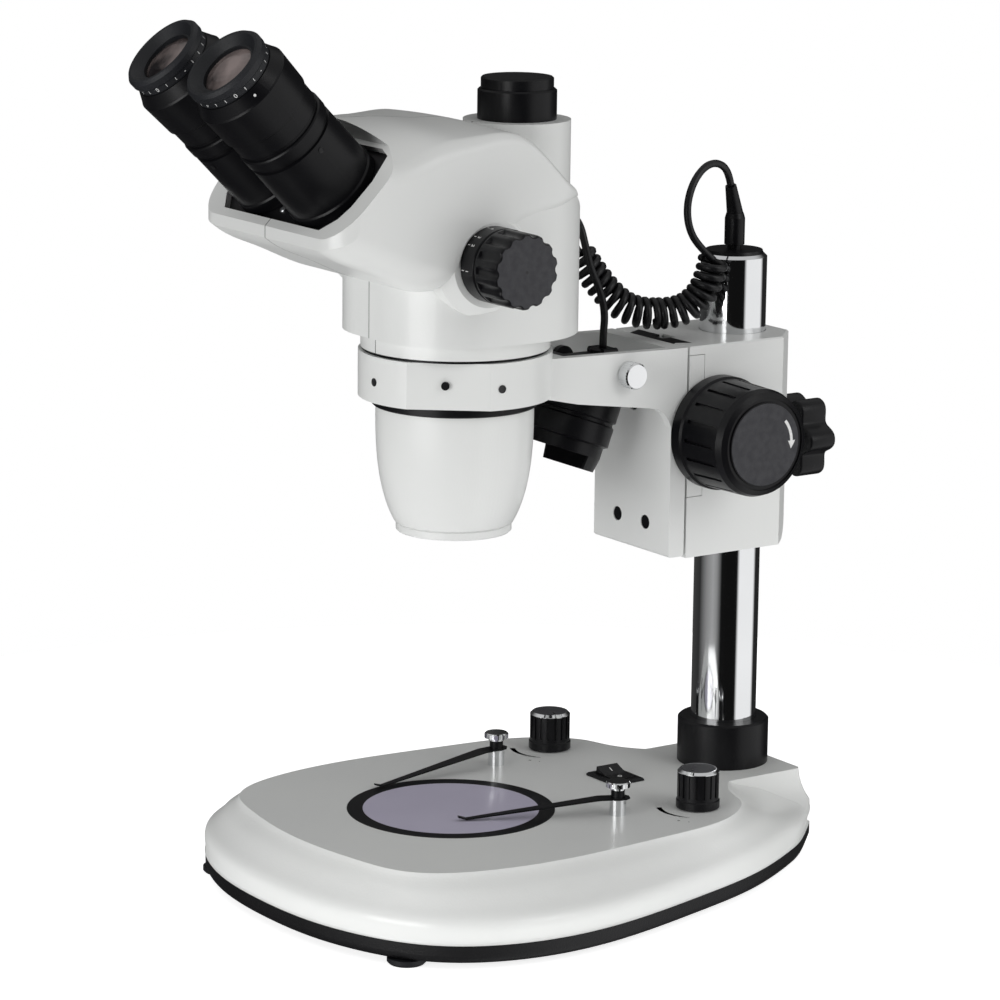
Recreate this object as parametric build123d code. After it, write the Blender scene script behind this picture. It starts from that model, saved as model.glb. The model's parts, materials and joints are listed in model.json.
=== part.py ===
from build123d import *
import os
from math import cos, pi, radians, sin, tan

os.makedirs("parts", exist_ok=True)

# A stereo zoom microscope on a lit pillar stand. Sizes are in millimetres.
# X runs across, +Y away from the user and Z up. The optical axis is at X 0, Y 0 while the
# pieces are made, and every piece is set back by footprint_middle when it is written.

# Fits between pieces
slip = 0.1
running = 0.04
loose = 0.3

# Base casting and its black bottom plate
footprint_middle = 28.7
base_half_width = 119.0
base_front = 105.0
base_rear = 189.0
base_rear_half_width = 36.0
foot_height = 3.0
foot_radius = 9.0
bottom_plate_thickness = 9.0
wall_height = 10.0
shoulder_rise = 17.5
plateau_front = 87.0
plateau_half_width = 94.0
base_wall = 6.0
seam_z = foot_height + bottom_plate_thickness
ridge_z = seam_z + wall_height
base_top = ridge_z + shoulder_rise

# Pillar, its collar and the raised seat behind the plateau
pillar_radius = 16.0
pillar_y = 161.3
pillar_top = 292.4
pillar_seat_depth = 22.0
seat_half_width = 34.0
seat_front = 129.0
seat_rear = 184.0
collar_radius = 22.35
collar_height = 22.4
cap_height = 1.6
jack_radius = 3.0

# Lit stage
stage_radius = 49.2
stage_thickness = 3.5
plate_radius = 41.7
plate_thickness = 3.8
plate_ledge = 3.5
led_board_radius = 36.0
board_thickness = 1.6

# Stage clips
clip_post_x = 50.6
clip_post_y = 60.6
clip_post_radius = 4.0
clip_post_height = 7.7
clip_strip_thickness = 0.8
clip_strip_width = 7.0
clip_tip_x = 19.5
clip_tip_y = -9.1
clip_far_x = -46.3
clip_far_y = -12.7
clip_stud_radius = 2.0
clip_collar_height = 3.6
clip_nut_radius = 5.9
clip_nut_height = 3.4

# Brightness knobs and the mains rocker
dimmer_x = 61.0
dimmer_y = 100.0
dimmer_radius = 10.4
dimmer_height = 18.5
dimmer_shaft_radius = 3.0
rocker_y = 96.0
rocker_length = 17.0
rocker_width = 13.0
bezel_length = 23.0
bezel_width = 18.0
inlet_width = 27.0
inlet_height = 19.0
inlet_depth = 11.0

# Focus block on the pillar
block_half_width = 30.3
block_front = 113.0
block_rear = 183.0
block_chamfer = 14.0
block_bottom = 153.0
block_top = 255.0
bush_radius = 19.0
bush_lip = 4.0
dovetail_mouth = 17.0
dovetail_root = 21.5
dovetail_depth = 8.0
rail_cover_thickness = 2.0
rail_cover_width = 9.0
rail_cover_bottom = 182.4

# Focus pinion, rack and knobs
pinion_y = 129.0
pinion_z = 213.2
pinion_teeth = 14
gear_module = 1.0
pinion_width = 10.0
shaft_radius = 4.0
focus_knob_x = 31.7
focus_knob_flange = 27.3
focus_knob_rim = 25.7
focus_knob_length = 37.0
focus_knob_panels = 18

# Star knob that clamps the block to the pillar
star_z = 198.5
star_lobes = 6
star_radius = 21.0
star_lobe_radius = 6.4
star_front = 195.0
star_thickness = 16.0
star_hub_radius = 15.6
star_screw_radius = 4.0

# Holder: ring, arm and slide plate
holder_bottom = 154.2
holder_plate_front = 102.7
holder_gap = 1.4
arm_top = 256.5
arm_wall = 5.0
arm_web_bottom = 228.0
arm_fillet = 13.0
ring_bore = 38.0
ring_radius = 45.0
ring_bottom = 239.0
ring_top = 260.6
plug_x = 11.2
plug_z = 168.3
plug_radius = 3.4
ring_screw_radius = 1.9
thumb_y = 77.0
thumb_z = 245.5
thumb_radius = 6.3
thumb_length = 7.0
thumb_stem_radius = 3.0

# Lamp in the arm
lamp_radius = 20.0
lamp_drop = 30.0
lamp_band = 11.0
lamp_ear_thickness = 3.0
lamp_lens_radius = 15.0

# Head: neck, column, upper body and mouth
neck_radius = 43.9
neck_bottom = 262.0
neck_height = 7.3
gasket_radius = 43.0
column_half_width = 49.5
column_front = 47.5
column_rear = 55.0
column_front_corner = 38.0
column_rear_corner = 43.0
body_half_width = 55.0
body_underside_radius = 16.0
lip_half_width = 61.0
lip_nose = 3.5
lip_corner_radius = 16.0
mouth_y = -99.2
mouth_z = 327.8
mouth_tilt = 45.0
mouth_depth = 5.4
mouth_plate_front = 40.0
mouth_plate_half_width = 50.0
mouth_plate_length = 47.2
mouth_plate_thickness = 2.6
photo_tube_radius = 25.0
photo_tube_y = 33.0
photo_tube_top = 364.9

# Objective below the ring
retainer_radius = 38.7
retainer_bottom = 234.7
objective_top_radius = 36.8
objective_waist_radius = 27.8
objective_waist_z = 179.5
objective_ring_radius = 27.0
objective_ring_bottom = 175.0
objective_thread_radius = 24.0
objective_lens_radius = 22.0

# Zoom knobs on a shaft across the head
zoom_y = -16.0
zoom_z = 308.2
zoom_boss_radius = 20.0
zoom_boss_root_radius = 25.0
zoom_boss_end = 52.0
zoom_scale_radius = 17.2
zoom_scale_end = 62.5
zoom_grip_end = 80.0
zoom_grip_radius = 17.2
zoom_flutes = 14

# Photo port
adapter_radius = 18.4
adapter_height = 14.1
photo_cap_radius = 16.9
photo_cap_height = 5.4
photo_cap_depth = 5.0

# Eyepiece tubes
tube_x = 22.5
tube_v = 23.6
tube_splay = 2.6
tube_radius = 21.6
tube_flange_radius = 22.2
tube_length = 44.0
tube_pivot_v = 40.6
tube_foot_bore = 12.0
eyepiece_length = 32.0
eyepiece_neck = 9.0
eyepiece_radius = 22.6
diopter_radius = 19.0
diopter_length = 3.2
eyecup_radius = 19.8
eyecup_length = 5.0

# Lamp lead: a plain loop, a curly stretch and a plain tail
wire_radius = 1.8
coil_radius = 7.8
lead_plug_radius = 4.9


def turned(profile, origin=(0, 0, 0), direction=(0, 0, 1)):
    """A turned piece: profile holds (radius, distance along the axis) pairs."""
    outline = Polyline(*[(r, 0, z) for r, z in profile], close=True)
    solid = revolve(make_face(outline), Axis.Z)
    return Plane(origin=origin, z_dir=direction).location * solid


def rod(radius, start, end):
    """A cylinder from one point to another."""
    start = Vector(*start)
    end = Vector(*end)
    axis = Plane(origin=start, z_dir=end - start)
    return extrude(axis * Circle(radius), (end - start).length)


def tube_between(outer, inner, start, end):
    """A ring or sleeve from one point to another."""
    return rod(outer, start, end) - rod(inner, start, end)


def slab(x_range, y_range, z_range):
    """A box given by its limits along each axis."""
    sizes = [high - low for low, high in (x_range, y_range, z_range)]
    middle = [(high + low) / 2 for low, high in (x_range, y_range, z_range)]
    return Pos(*middle) * Box(*sizes)


def group(shapes):
    """Several separate solids in one node."""
    solids = [solid for shape in shapes for solid in shape.solids()]
    return Compound(solids)


def side_profile(points, half_width):
    """An outline drawn in Y and Z, given the same width on each side of X 0."""
    face = make_face(Polyline(*[(0, y, z) for y, z in points], close=True))
    return extrude(face, half_width, dir=(1, 0, 0), both=True)


def ahead(point, towards, distance):
    """A point that lies the distance from the first, in the direction of a vector."""
    step = Vector(*towards).normalized() * distance
    return (point[0] + step.X, point[1] + step.Y, point[2] + step.Z)


# Ends of the lamp lead
relief_start = (0, pillar_y, pillar_top + cap_height + 17)
relief_lean = (2.0, -4.5, 14.0)
relief_end = ahead(relief_start, relief_lean, 15.0)
coil_start = (16.0, 136.6, 292.6)
coil_middle = (5.0, 113.0, 267.4)
coil_middle_heading = (-0.38, -0.92, 0.0)
coil_end = (-14.0, 80.0, 296.0)
coil_end_heading = (-0.31, -0.43, 0.85)
clamp_top = (3.0, 82.0, 253.5)


def rim_points(inset=0.0):
    """Right half of the base's rim, seen from above and moved inwards by the inset."""
    width = base_half_width - inset
    front = base_front - inset
    rear = base_rear - inset
    return [
        (0, -front),
        (0.504 * width, -0.919 * front),
        (0.824 * width, -0.705 * front),
        (width, -0.21 * front),
        (0.962 * width, 0.16 * rear),
        (0.866 * width, 0.386 * rear),
        (0.731 * width, 0.63 * rear),
        (0.565 * width, 0.815 * rear),
        (base_rear_half_width, rear),
    ]


def plateau_points(inset=0.0):
    """Right half of the flat top, which swells round the brightness knob."""
    width = plateau_half_width - inset
    front = plateau_front - inset
    knob_side = dimmer_x + 2.0 * dimmer_radius - inset
    return [
        (0, -front),
        (0.48 * width, -0.943 * front),
        (0.78 * width, -0.83 * front),
        (0.98 * width, -0.4 * front),
        (width, 0.31 * dimmer_y),
        (0.967 * width, 0.65 * dimmer_y),
        (knob_side, 1.04 * dimmer_y),
        (dimmer_x + 4.0 - inset, 1.23 * dimmer_y),
        (seat_half_width, seat_front + dimmer_radius),
    ]


def base_section(z, share, inset=0.0):
    """Level outline of the base: share 0 is the rim, 1 the plateau."""
    right = []
    for (rim_x, rim_y), (top_x, top_y) in zip(rim_points(inset), plateau_points(inset)):
        right.append((rim_x + share * (top_x - rim_x), rim_y + share * (top_y - rim_y), z))
    left = [(-x, y, z) for x, y, z in right]
    right_edge = Spline(*right, tangents=[(1, 0, 0), (-1, 1, 0)])
    left_edge = Spline(*left, tangents=[(-1, 0, 0), (1, 1, 0)])
    return make_face(Curve() + [right_edge, Line(right[-1], left[-1]), left_edge])


# Base

def base_casting():
    shoulder_shares = ((0.0, 0.03), (0.14, 0.12), (0.5, 0.48), (0.84, 0.86), (0.97, 0.98), (1.0, 1.0))
    sections = [base_section(seam_z, 0), base_section(seam_z + 0.7 * wall_height, 0)]
    for height_share, share in shoulder_shares:
        sections.append(base_section(ridge_z + height_share * shoulder_rise, share))
    body = loft(sections)
    seat_middle = (seat_front + seat_rear) / 2
    seat_length = seat_rear - seat_front
    seat_sections = []
    for height, spread in ((base_top, 0), (base_top - 6, 1.5), (ridge_z - 2, 17)):
        rectangle = RectangleRounded(2 * (seat_half_width + spread), seat_length + 0.9 * spread, 3)
        seat_sections.append(Pos(0, seat_middle - 0.25 * spread, height) * rectangle)
    seat = loft(seat_sections)
    seat &= extrude(base_section(seam_z, 0), base_top)
    body += seat
    cavity_top = base_top - base_wall
    cavity = loft([base_section(seam_z - 1, 0, base_wall), base_section(cavity_top, 1, base_wall)], ruled=True)
    cavity &= slab((-base_half_width, base_half_width), (-base_front, seat_front - 12), (seam_z - 1, base_top))
    body -= cavity
    top = base_top + 1
    body -= Pos(0, 0, base_top - stage_thickness) * extrude(Circle(stage_radius + slip), top)
    body -= rod(stage_radius - 5, (0, 0, cavity_top - 1), (0, 0, top))
    body -= rod(pillar_radius + slip / 2, (0, pillar_y, base_top - pillar_seat_depth), (0, pillar_y, top))
    for side in (-1, 1):
        body -= rod(dimmer_shaft_radius + loose, (side * dimmer_x, dimmer_y, seam_z), (side * dimmer_x, dimmer_y, top))
        stud = clip_stud_radius + slip / 2
        post = (side * clip_post_x, clip_post_y)
        body -= rod(stud, (*post, cavity_top), (*post, top))
    half_length = bezel_length / 2 - 3
    half_width = bezel_width / 2 - 0.8
    body -= slab((-half_length, half_length), (rocker_y - half_width, rocker_y + half_width), (seam_z, top))
    inlet_middle = inlet_centre_z()
    half = inlet_width / 2 + slip
    body -= slab((-half, half), (base_rear - inlet_depth - 1, base_rear + 1),
                 (inlet_middle - inlet_height / 2 - slip, inlet_middle + inlet_height / 2 + slip))
    return body


def inlet_centre_z():
    """Middle height of the power inlet in the rear wall."""
    return seam_z + 2.5 + inlet_height / 2


def base_plate():
    plate = extrude(base_section(foot_height, 0, loose), bottom_plate_thickness)
    return fillet(plate.faces().sort_by(Axis.Z)[0].edges(), 0.45 * bottom_plate_thickness)


def foot_places():
    """Centres of the four feet."""
    front = (0.68 * base_half_width, -0.74 * base_front)
    rear = (0.42 * base_half_width, 0.76 * base_rear)
    return [(side * x, y) for side in (-1, 1) for x, y in (front, rear)]


def feet():
    pads = [turned([(0, 0), (foot_radius - 1, 0), (foot_radius, 1), (foot_radius, foot_height), (0, foot_height)],
                   (x, y, 0)) for x, y in foot_places()]
    return group(pads)


def pillar():
    bottom = base_top - pillar_seat_depth
    bore = pillar_radius - 4
    return turned([(0, bottom), (pillar_radius, bottom), (pillar_radius, pillar_top - 1.5),
                   (pillar_radius - 1.5, pillar_top), (bore, pillar_top), (bore, pillar_top - 20),
                   (0, pillar_top - 20)], (0, pillar_y, 0))


def pillar_collar():
    inner = pillar_radius + slip / 2
    bottom = base_top
    top = bottom + collar_height
    return turned([(inner, bottom), (collar_radius, bottom), (collar_radius, top - 1),
                   (collar_radius - 1, top), (inner, top)], (0, pillar_y, 0))


def pillar_cap():
    """Black plug in the pillar's open top, with the lamp socket in it."""
    stem = pillar_radius - 4 - slip / 2
    top = pillar_top + cap_height
    return turned([(jack_radius, pillar_top - 14), (stem, pillar_top - 14), (stem, pillar_top),
                   (pillar_radius - 1.8, pillar_top), (pillar_radius - 2.3, top), (jack_radius, top)],
                  (0, pillar_y, 0))


# Stage

def stage_ring():
    bottom = base_top - stage_thickness
    skirt = stage_radius - 5 - slip
    ledge = base_top - plate_ledge
    return turned([(plate_radius - 3, bottom - 6), (skirt, bottom - 6), (skirt, bottom), (stage_radius, bottom),
                   (stage_radius, base_top), (plate_radius + slip, base_top), (plate_radius + slip, ledge),
                   (plate_radius - 3, ledge)])


def stage_plate():
    bottom = base_top - plate_ledge
    return Pos(0, 0, bottom) * extrude(Circle(plate_radius), plate_thickness - loose)


def led_board():
    """Round board with rings of LEDs, on four pillars that stand on the bottom plate."""
    z = seam_z + 6
    board = rod(led_board_radius, (0, 0, z), (0, 0, z + board_thickness))
    for ring_radius_share, count in ((0.3, 6), (0.62, 12)):
        for spot in PolarLocations(ring_radius_share * led_board_radius, count):
            board += spot * Pos(0, 0, z + board_thickness + 0.5) * Box(3, 3, 1.2)
    for spot in PolarLocations(led_board_radius - 5, 4, start_angle=45):
        board += spot * Pos(0, 0, (seam_z + z) / 2) * Cylinder(3, z - seam_z)
    return board


def control_board():
    """Supply board on four pillars, with the potentiometer bodies under the brightness knobs."""
    z = seam_z + 5
    half_width = 0.32 * base_half_width
    front = stage_radius + 2
    rear = rocker_y - bezel_width / 2 - 2
    board = slab((-half_width, half_width), (front, rear), (z, z + board_thickness))
    middle = (front + rear) / 2
    parts_on_board = [(-0.6, 9, 9, 9), (0.0, 14, 12, 11), (0.6, 8, 14, 7)]
    for place, length, width, height in parts_on_board:
        centre = (place * half_width, middle, z + board_thickness + height / 2)
        board += Pos(*centre) * Box(length, width, height)
    for x in (-half_width + 4, half_width - 4):
        for y in (front + 4, rear - 4):
            board += rod(2.5, (x, y, seam_z), (x, y, z))
    return group([board] + pots())


# Stage clips

def clip_posts():
    """Chrome posts on the plateau, each with its nut."""
    posts = []
    for side in (-1, 1):
        place = (side * clip_post_x, clip_post_y, base_top)
        posts.append(turned([(0, -base_wall + 1), (clip_stud_radius, -base_wall + 1), (clip_stud_radius, 0),
                             (clip_post_radius, 0), (clip_post_radius, clip_post_height),
                             (clip_stud_radius, clip_post_height), (clip_stud_radius, clip_stud_top()),
                             (0, clip_stud_top())], place))
        posts.append(clip_nut(side))
    return group(posts)


def clip_stud_top():
    """Height of the stud above the base."""
    return clip_post_height + clip_strip_thickness + clip_collar_height + clip_nut_height / 2


def clip(side):
    """A bent spring strip that turns on its post and lies on the stage glass."""
    post = Vector(side * clip_post_x, clip_post_y)
    tip = Vector(clip_tip_x, clip_tip_y) if side > 0 else Vector(clip_far_x, clip_far_y)
    reach = (tip - post).length
    strip_z = base_top + clip_post_height + slip
    tip_z = base_top + loose
    knee = 0.12 * reach
    spine = [(-1.4 * clip_post_radius, strip_z), (knee, strip_z), (reach - 4, tip_z + 0.2), (reach, tip_z + 1.4)]
    upper = [(s, z + clip_strip_thickness) for s, z in reversed(spine)]
    outline = make_face(Polyline(*[(s, 0, z) for s, z in spine + upper], close=True))
    strip = extrude(outline, clip_strip_width / 2, dir=(0, 1, 0), both=True)
    back = -1.4 * clip_post_radius
    half = clip_strip_width / 2
    plan = Polyline((back + 2, -half), (knee, -half), (reach, -0.3 * half), (reach, 0.3 * half), (knee, half),
                    (back + 2, half), (back, 0.4 * half), (back, -0.4 * half), close=True)
    strip &= extrude(Pos(0, 0, base_top) * make_face(plan), clip_post_height + 4)
    strip -= rod(clip_stud_radius + running, (0, 0, base_top), (0, 0, strip_z + 2))
    collar_bottom = strip_z + clip_strip_thickness
    collar = tube_between(0.82 * clip_post_radius, clip_stud_radius + running, (0, 0, collar_bottom),
                          (0, 0, collar_bottom + clip_collar_height - slip))
    heading = (tip - post)
    plane = Plane(origin=(post.X, post.Y, 0), x_dir=(heading.X, heading.Y, 0), z_dir=(0, 0, 1))
    return plane.location * (strip + collar)


def clip_nut(side):
    """Knurled nut with a waisted neck on the stud."""
    bottom = base_top + clip_post_height + clip_strip_thickness + clip_collar_height + loose
    nut = turned([(clip_stud_radius + running, 0), (0.62 * clip_nut_radius, 0), (0.62 * clip_nut_radius, 0.8),
                  (clip_nut_radius, 1.4), (clip_nut_radius, clip_nut_height), (0.9 * clip_nut_radius, clip_nut_height + 0.6),
                  (0, clip_nut_height + 0.6), (0, clip_nut_height - 0.9), (clip_stud_radius + running, clip_nut_height - 0.9)])
    for spot in PolarLocations(clip_nut_radius + 0.3, 20):
        nut -= spot * Pos(0, 0, clip_nut_height / 2 + 0.6) * Box(1.0, 0.9, clip_nut_height)
    return Pos(side * clip_post_x, clip_post_y, bottom) * nut


# Brightness knobs, rocker and power inlet

def dimmer_knob(side):
    """Ribbed knob with a plain skirt, a bevelled top rim and a blind bore for its shaft."""
    bottom = base_top + 0.6
    skirt = 4.0
    rib_radius = dimmer_radius - 0.5
    knob = turned([(0, 4 - 1), (0, dimmer_height), (rib_radius - 1.2, dimmer_height), (rib_radius, dimmer_height - 1.2),
                   (rib_radius, skirt), (dimmer_radius, skirt - 0.5), (dimmer_radius, 0),
                   (dimmer_shaft_radius, 0), (dimmer_shaft_radius, 3)])
    for spot in PolarLocations(rib_radius + 0.2, 18):
        knob -= spot * Pos(0, 0, (dimmer_height + skirt) / 2) * Box(1.5, 1.1, dimmer_height - skirt - 3)
    return Pos(side * dimmer_x, dimmer_y, bottom) * knob


def dimmer_shaft(side):
    """Potentiometer shaft through the casting; its body hangs under the deck."""
    return rod(dimmer_shaft_radius, (side * dimmer_x, dimmer_y, pot_top() - 4), (side * dimmer_x, dimmer_y, base_top + 3.6))


def pot_top():
    """Upper face of each potentiometer, flat under the casting's deck."""
    return base_top - base_wall


def pots():
    """Potentiometer bodies with a clear bore for their shafts."""
    bodies = []
    for side in (-1, 1):
        place = (side * dimmer_x, dimmer_y)
        body = rod(8.5, (*place, pot_top() - 9), (*place, pot_top()))
        bodies.append(body - rod(dimmer_shaft_radius + running, (*place, pot_top() - 4.2), (*place, pot_top() + 1)))
    return bodies


def switch_bezel():
    """Rocker housing, clipped into the plateau, with a body that reaches into the base."""
    bezel = Pos(0, rocker_y, base_top + 0.8) * Box(bezel_length, bezel_width, 1.6)
    bezel = chamfer(bezel.faces().sort_by(Axis.Z)[-1].edges(), 0.7)
    half_length = bezel_length / 2 - 3.2
    half_width = bezel_width / 2 - 1.0
    body = slab((-half_length, half_length), (rocker_y - half_width, rocker_y + half_width), (seam_z + 3, base_top))
    well = slab((-rocker_length / 2, rocker_length / 2), (rocker_y - rocker_width / 2, rocker_y + rocker_width / 2),
                (base_top - 7, base_top + 3))
    return bezel + body - well - rocker_trunnions(running)


def rocker_trunnions(grow=0.0):
    """Round pins at the rocker's sides, on its cross axis."""
    reach = rocker_width / 2 + 0.8 + grow
    z = rocker_pivot_z()
    return rod(1.3 + grow, (0, rocker_y - reach, z), (0, rocker_y + reach, z))


def rocker_pivot_z():
    """Height of the rocker's cross axis."""
    return base_top - 1.4


def switch_rocker():
    """Wedge-shaped rocker that tips about its middle."""
    half = rocker_length / 2 - 0.5
    z = rocker_pivot_z()
    points = [(-half, z + 0.6), (-half + 1, z + 6.4), (0, z + 3.4), (half - 0.6, z + 3.2), (half, z - 1.2),
              (0, z - 3.2)]
    outline = make_face(Polyline(*[(x, 0, height) for x, height in points], close=True))
    width = rocker_width / 2 - 0.4
    rocker = Pos(0, rocker_y, 0) * extrude(outline, width, dir=(0, 1, 0), both=True)
    return rocker + rocker_trunnions()


def power_inlet():
    """Three-pin mains inlet in the rear wall."""
    middle = inlet_centre_z()
    low = middle - inlet_height / 2
    high = middle + inlet_height / 2
    half = inlet_width / 2
    body = slab((-half, half), (base_rear - inlet_depth, base_rear), (low, high))
    flange = slab((-half - 2, half + 2), (base_rear, base_rear + 1.5), (low - 1.5, high + 1.5))
    body += fillet(flange.edges().filter_by(Axis.Y), 2)
    body -= slab((-half + 2, half - 2), (base_rear - inlet_depth + 2, base_rear + 2), (low + 2, high - 2))
    for x, z in ((-7, middle - 1.5), (0, middle - 4.5), (7, middle - 1.5)):
        body += Pos(x, base_rear - inlet_depth / 2 - 1, z) * Box(2, inlet_depth - 3, 4)
    return body


# Focus block

def block_plan():
    """The block seen from above: a rectangle with its rear corners cut off."""
    side_end = block_rear - block_chamfer
    points = [(-block_half_width, block_front), (block_half_width, block_front), (block_half_width, side_end),
              (block_half_width - block_chamfer, block_rear), (block_chamfer - block_half_width, block_rear),
              (-block_half_width, side_end)]
    return make_face(Polyline(*points, close=True))


def dovetail(clearance, bottom, top):
    """The slide's dovetail, narrowed by a clearance on each flank."""
    mouth = dovetail_mouth - clearance
    root = dovetail_root - clearance
    rear = block_front + dovetail_depth - clearance
    front = block_front - holder_gap
    slope = (root - mouth) / (rear - block_front)
    near = mouth - slope * holder_gap
    outline = Polyline((-near, front), (near, front), (root, rear), (-root, rear), close=True)
    return Pos(0, 0, bottom) * extrude(make_face(outline), top - bottom)


def focus_block():
    height = block_top - block_bottom
    block = Pos(0, 0, block_bottom) * extrude(block_plan(), height)
    rear_bottom = block.edges().filter_by(Axis.X).sort_by(Axis.Z)[:2].sort_by(Axis.Y)[-1]
    block = fillet(rear_bottom, 8)
    block = chamfer(block.edges().group_by(Axis.Z)[-1], 0.8)
    bore = bush_radius + running
    block -= rod(bore, (0, pillar_y, block_bottom + bush_lip), (0, pillar_y, block_top - bush_lip))
    block -= rod(pillar_radius + loose, (0, pillar_y, block_bottom - 1), (0, pillar_y, block_top + 1))
    block -= dovetail(0, block_bottom - 1, block_top + 1)
    rack_clear = rack_half_width() + 0.5
    block -= slab((-rack_clear, rack_clear), (block_front, pinion_y - gear_module * (pinion_teeth / 2 - 1.6)),
                  (block_bottom - 1, block_top + 1))
    pocket = gear_module * (pinion_teeth / 2 + 2)
    half = pinion_width / 2 + 1
    block -= rod(pocket, (-half, pinion_y, pinion_z), (half, pinion_y, pinion_z))
    block -= slab((-half, half), (block_front, pinion_y), (pinion_z - pocket, pinion_z + pocket))
    block -= rod(shaft_radius + running, (-block_half_width - 1, pinion_y, pinion_z),
                 (block_half_width + 1, pinion_y, pinion_z))
    block -= rod(star_screw_radius + slip, (0, pillar_y, star_z), (0, block_rear + 1, star_z))
    for side in (-1, 1):
        x_range = sorted((side * (block_half_width - rail_cover_thickness), side * (block_half_width + 1)))
        block -= slab(x_range, (block_front - 1, block_front + rail_cover_width), (rail_cover_bottom, block_top - 4))
    return block


def rail_covers():
    """Cover strips let into each side of the block beside the slide."""
    covers = []
    for side in (-1, 1):
        x_range = sorted((side * (block_half_width - rail_cover_thickness), side * block_half_width))
        cover = slab(x_range, (block_front + slip, block_front + rail_cover_width - loose),
                     (rail_cover_bottom + loose, block_top - 4 - loose))
        covers.append(cover)
    return group(covers)


def guide_bush():
    """Split sleeve that slides on the pillar and turns in the block."""
    bottom = block_bottom + bush_lip + loose
    top = block_top - bush_lip - loose
    sleeve = tube_between(bush_radius, pillar_radius + running, (0, pillar_y, bottom), (0, pillar_y, top))
    return sleeve - slab((0, bush_radius + 1), (pillar_y - 1, pillar_y + 1), (bottom - 1, top + 1))


def star_knob():
    """Clamp knob with six lobes, a hub cone and the screw that presses on the sleeve."""
    middle = star_radius - star_lobe_radius
    disc = Circle(middle)
    for spot in PolarLocations(middle, star_lobes):
        disc += spot * Circle(star_lobe_radius)
    face_plane = Plane(origin=(0, star_front, star_z), x_dir=(1, 0, 0), z_dir=(0, 1, 0))
    grip = extrude(face_plane * disc, star_thickness)
    grip = fillet(grip.faces().sort_by(Axis.Y)[-1].edges(), 2)
    screw_start = pillar_y + bush_radius + loose
    hub = turned([(0, screw_start - star_front), (star_screw_radius, screw_start - star_front),
                  (star_screw_radius, block_rear + 1.5 - star_front), (0.62 * star_hub_radius, block_rear + 1.5 - star_front),
                  (star_hub_radius, -2), (star_hub_radius, 0), (0, 0)],
                 (0, star_front, star_z), (0, 1, 0))
    return grip + hub


# Pinion shaft and focus knobs

def pinion_shaft():
    """Cross shaft with the pinion cut in its middle."""
    end = focus_knob_x + 0.55 * focus_knob_length
    pitch_radius = gear_module * pinion_teeth / 2
    root = pitch_radius - 1.1 * gear_module
    gear = Circle(root)
    half_tooth = 0.17 * pi * gear_module * 2
    for spot in PolarLocations(0, pinion_teeth, start_angle=pinion_phase()):
        tooth = Polyline((0, -half_tooth), (pitch_radius, -0.62 * half_tooth),
                         (pitch_radius + 0.8 * gear_module, -0.3 * half_tooth),
                         (pitch_radius + 0.8 * gear_module, 0.3 * half_tooth),
                         (pitch_radius, 0.62 * half_tooth), (0, half_tooth), close=True)
        gear += spot * make_face(tooth)
    across = Plane(origin=(-pinion_width / 2, pinion_y, pinion_z), x_dir=(0, -1, 0), z_dir=(1, 0, 0))
    return extrude(across * gear, pinion_width) + rod(shaft_radius, (-end, pinion_y, pinion_z), (end, pinion_y, pinion_z))


def pinion_phase():
    """A tooth of the pinion points at a gap of the rack at rest."""
    return 0.0


def focus_knob(side):
    """Large focus knob: flange, tapered grip with shallow panels, end groove and end disc."""
    length = focus_knob_length
    rim = focus_knob_rim
    knob = turned([(shaft_radius + running, 0.6), (focus_knob_flange - 6, 0.6), (focus_knob_flange - 5, 0),
                   (focus_knob_flange, 0), (focus_knob_flange, 6), (focus_knob_flange - 0.9, 7),
                   (rim, length - 5), (rim - 1.2, length - 1.6), (rim - 3.6, length), (22, length), (22, length - 0.8),
                   (20, length - 0.8), (20, length), (0, length), (0, 0.6 * length),
                   (shaft_radius + running, 0.6 * length)])
    for spot in PolarLocations(rim + 0.5, focus_knob_panels):
        knob -= spot * Pos(0, 0, 0.53 * length) * Box(2.4, 1.7, 0.56 * length)
    plane = Plane(origin=(side * focus_knob_x, pinion_y, pinion_z), x_dir=(0, 1, 0), z_dir=(side, 0, 0))
    return plane.location * knob


# Holder

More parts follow.
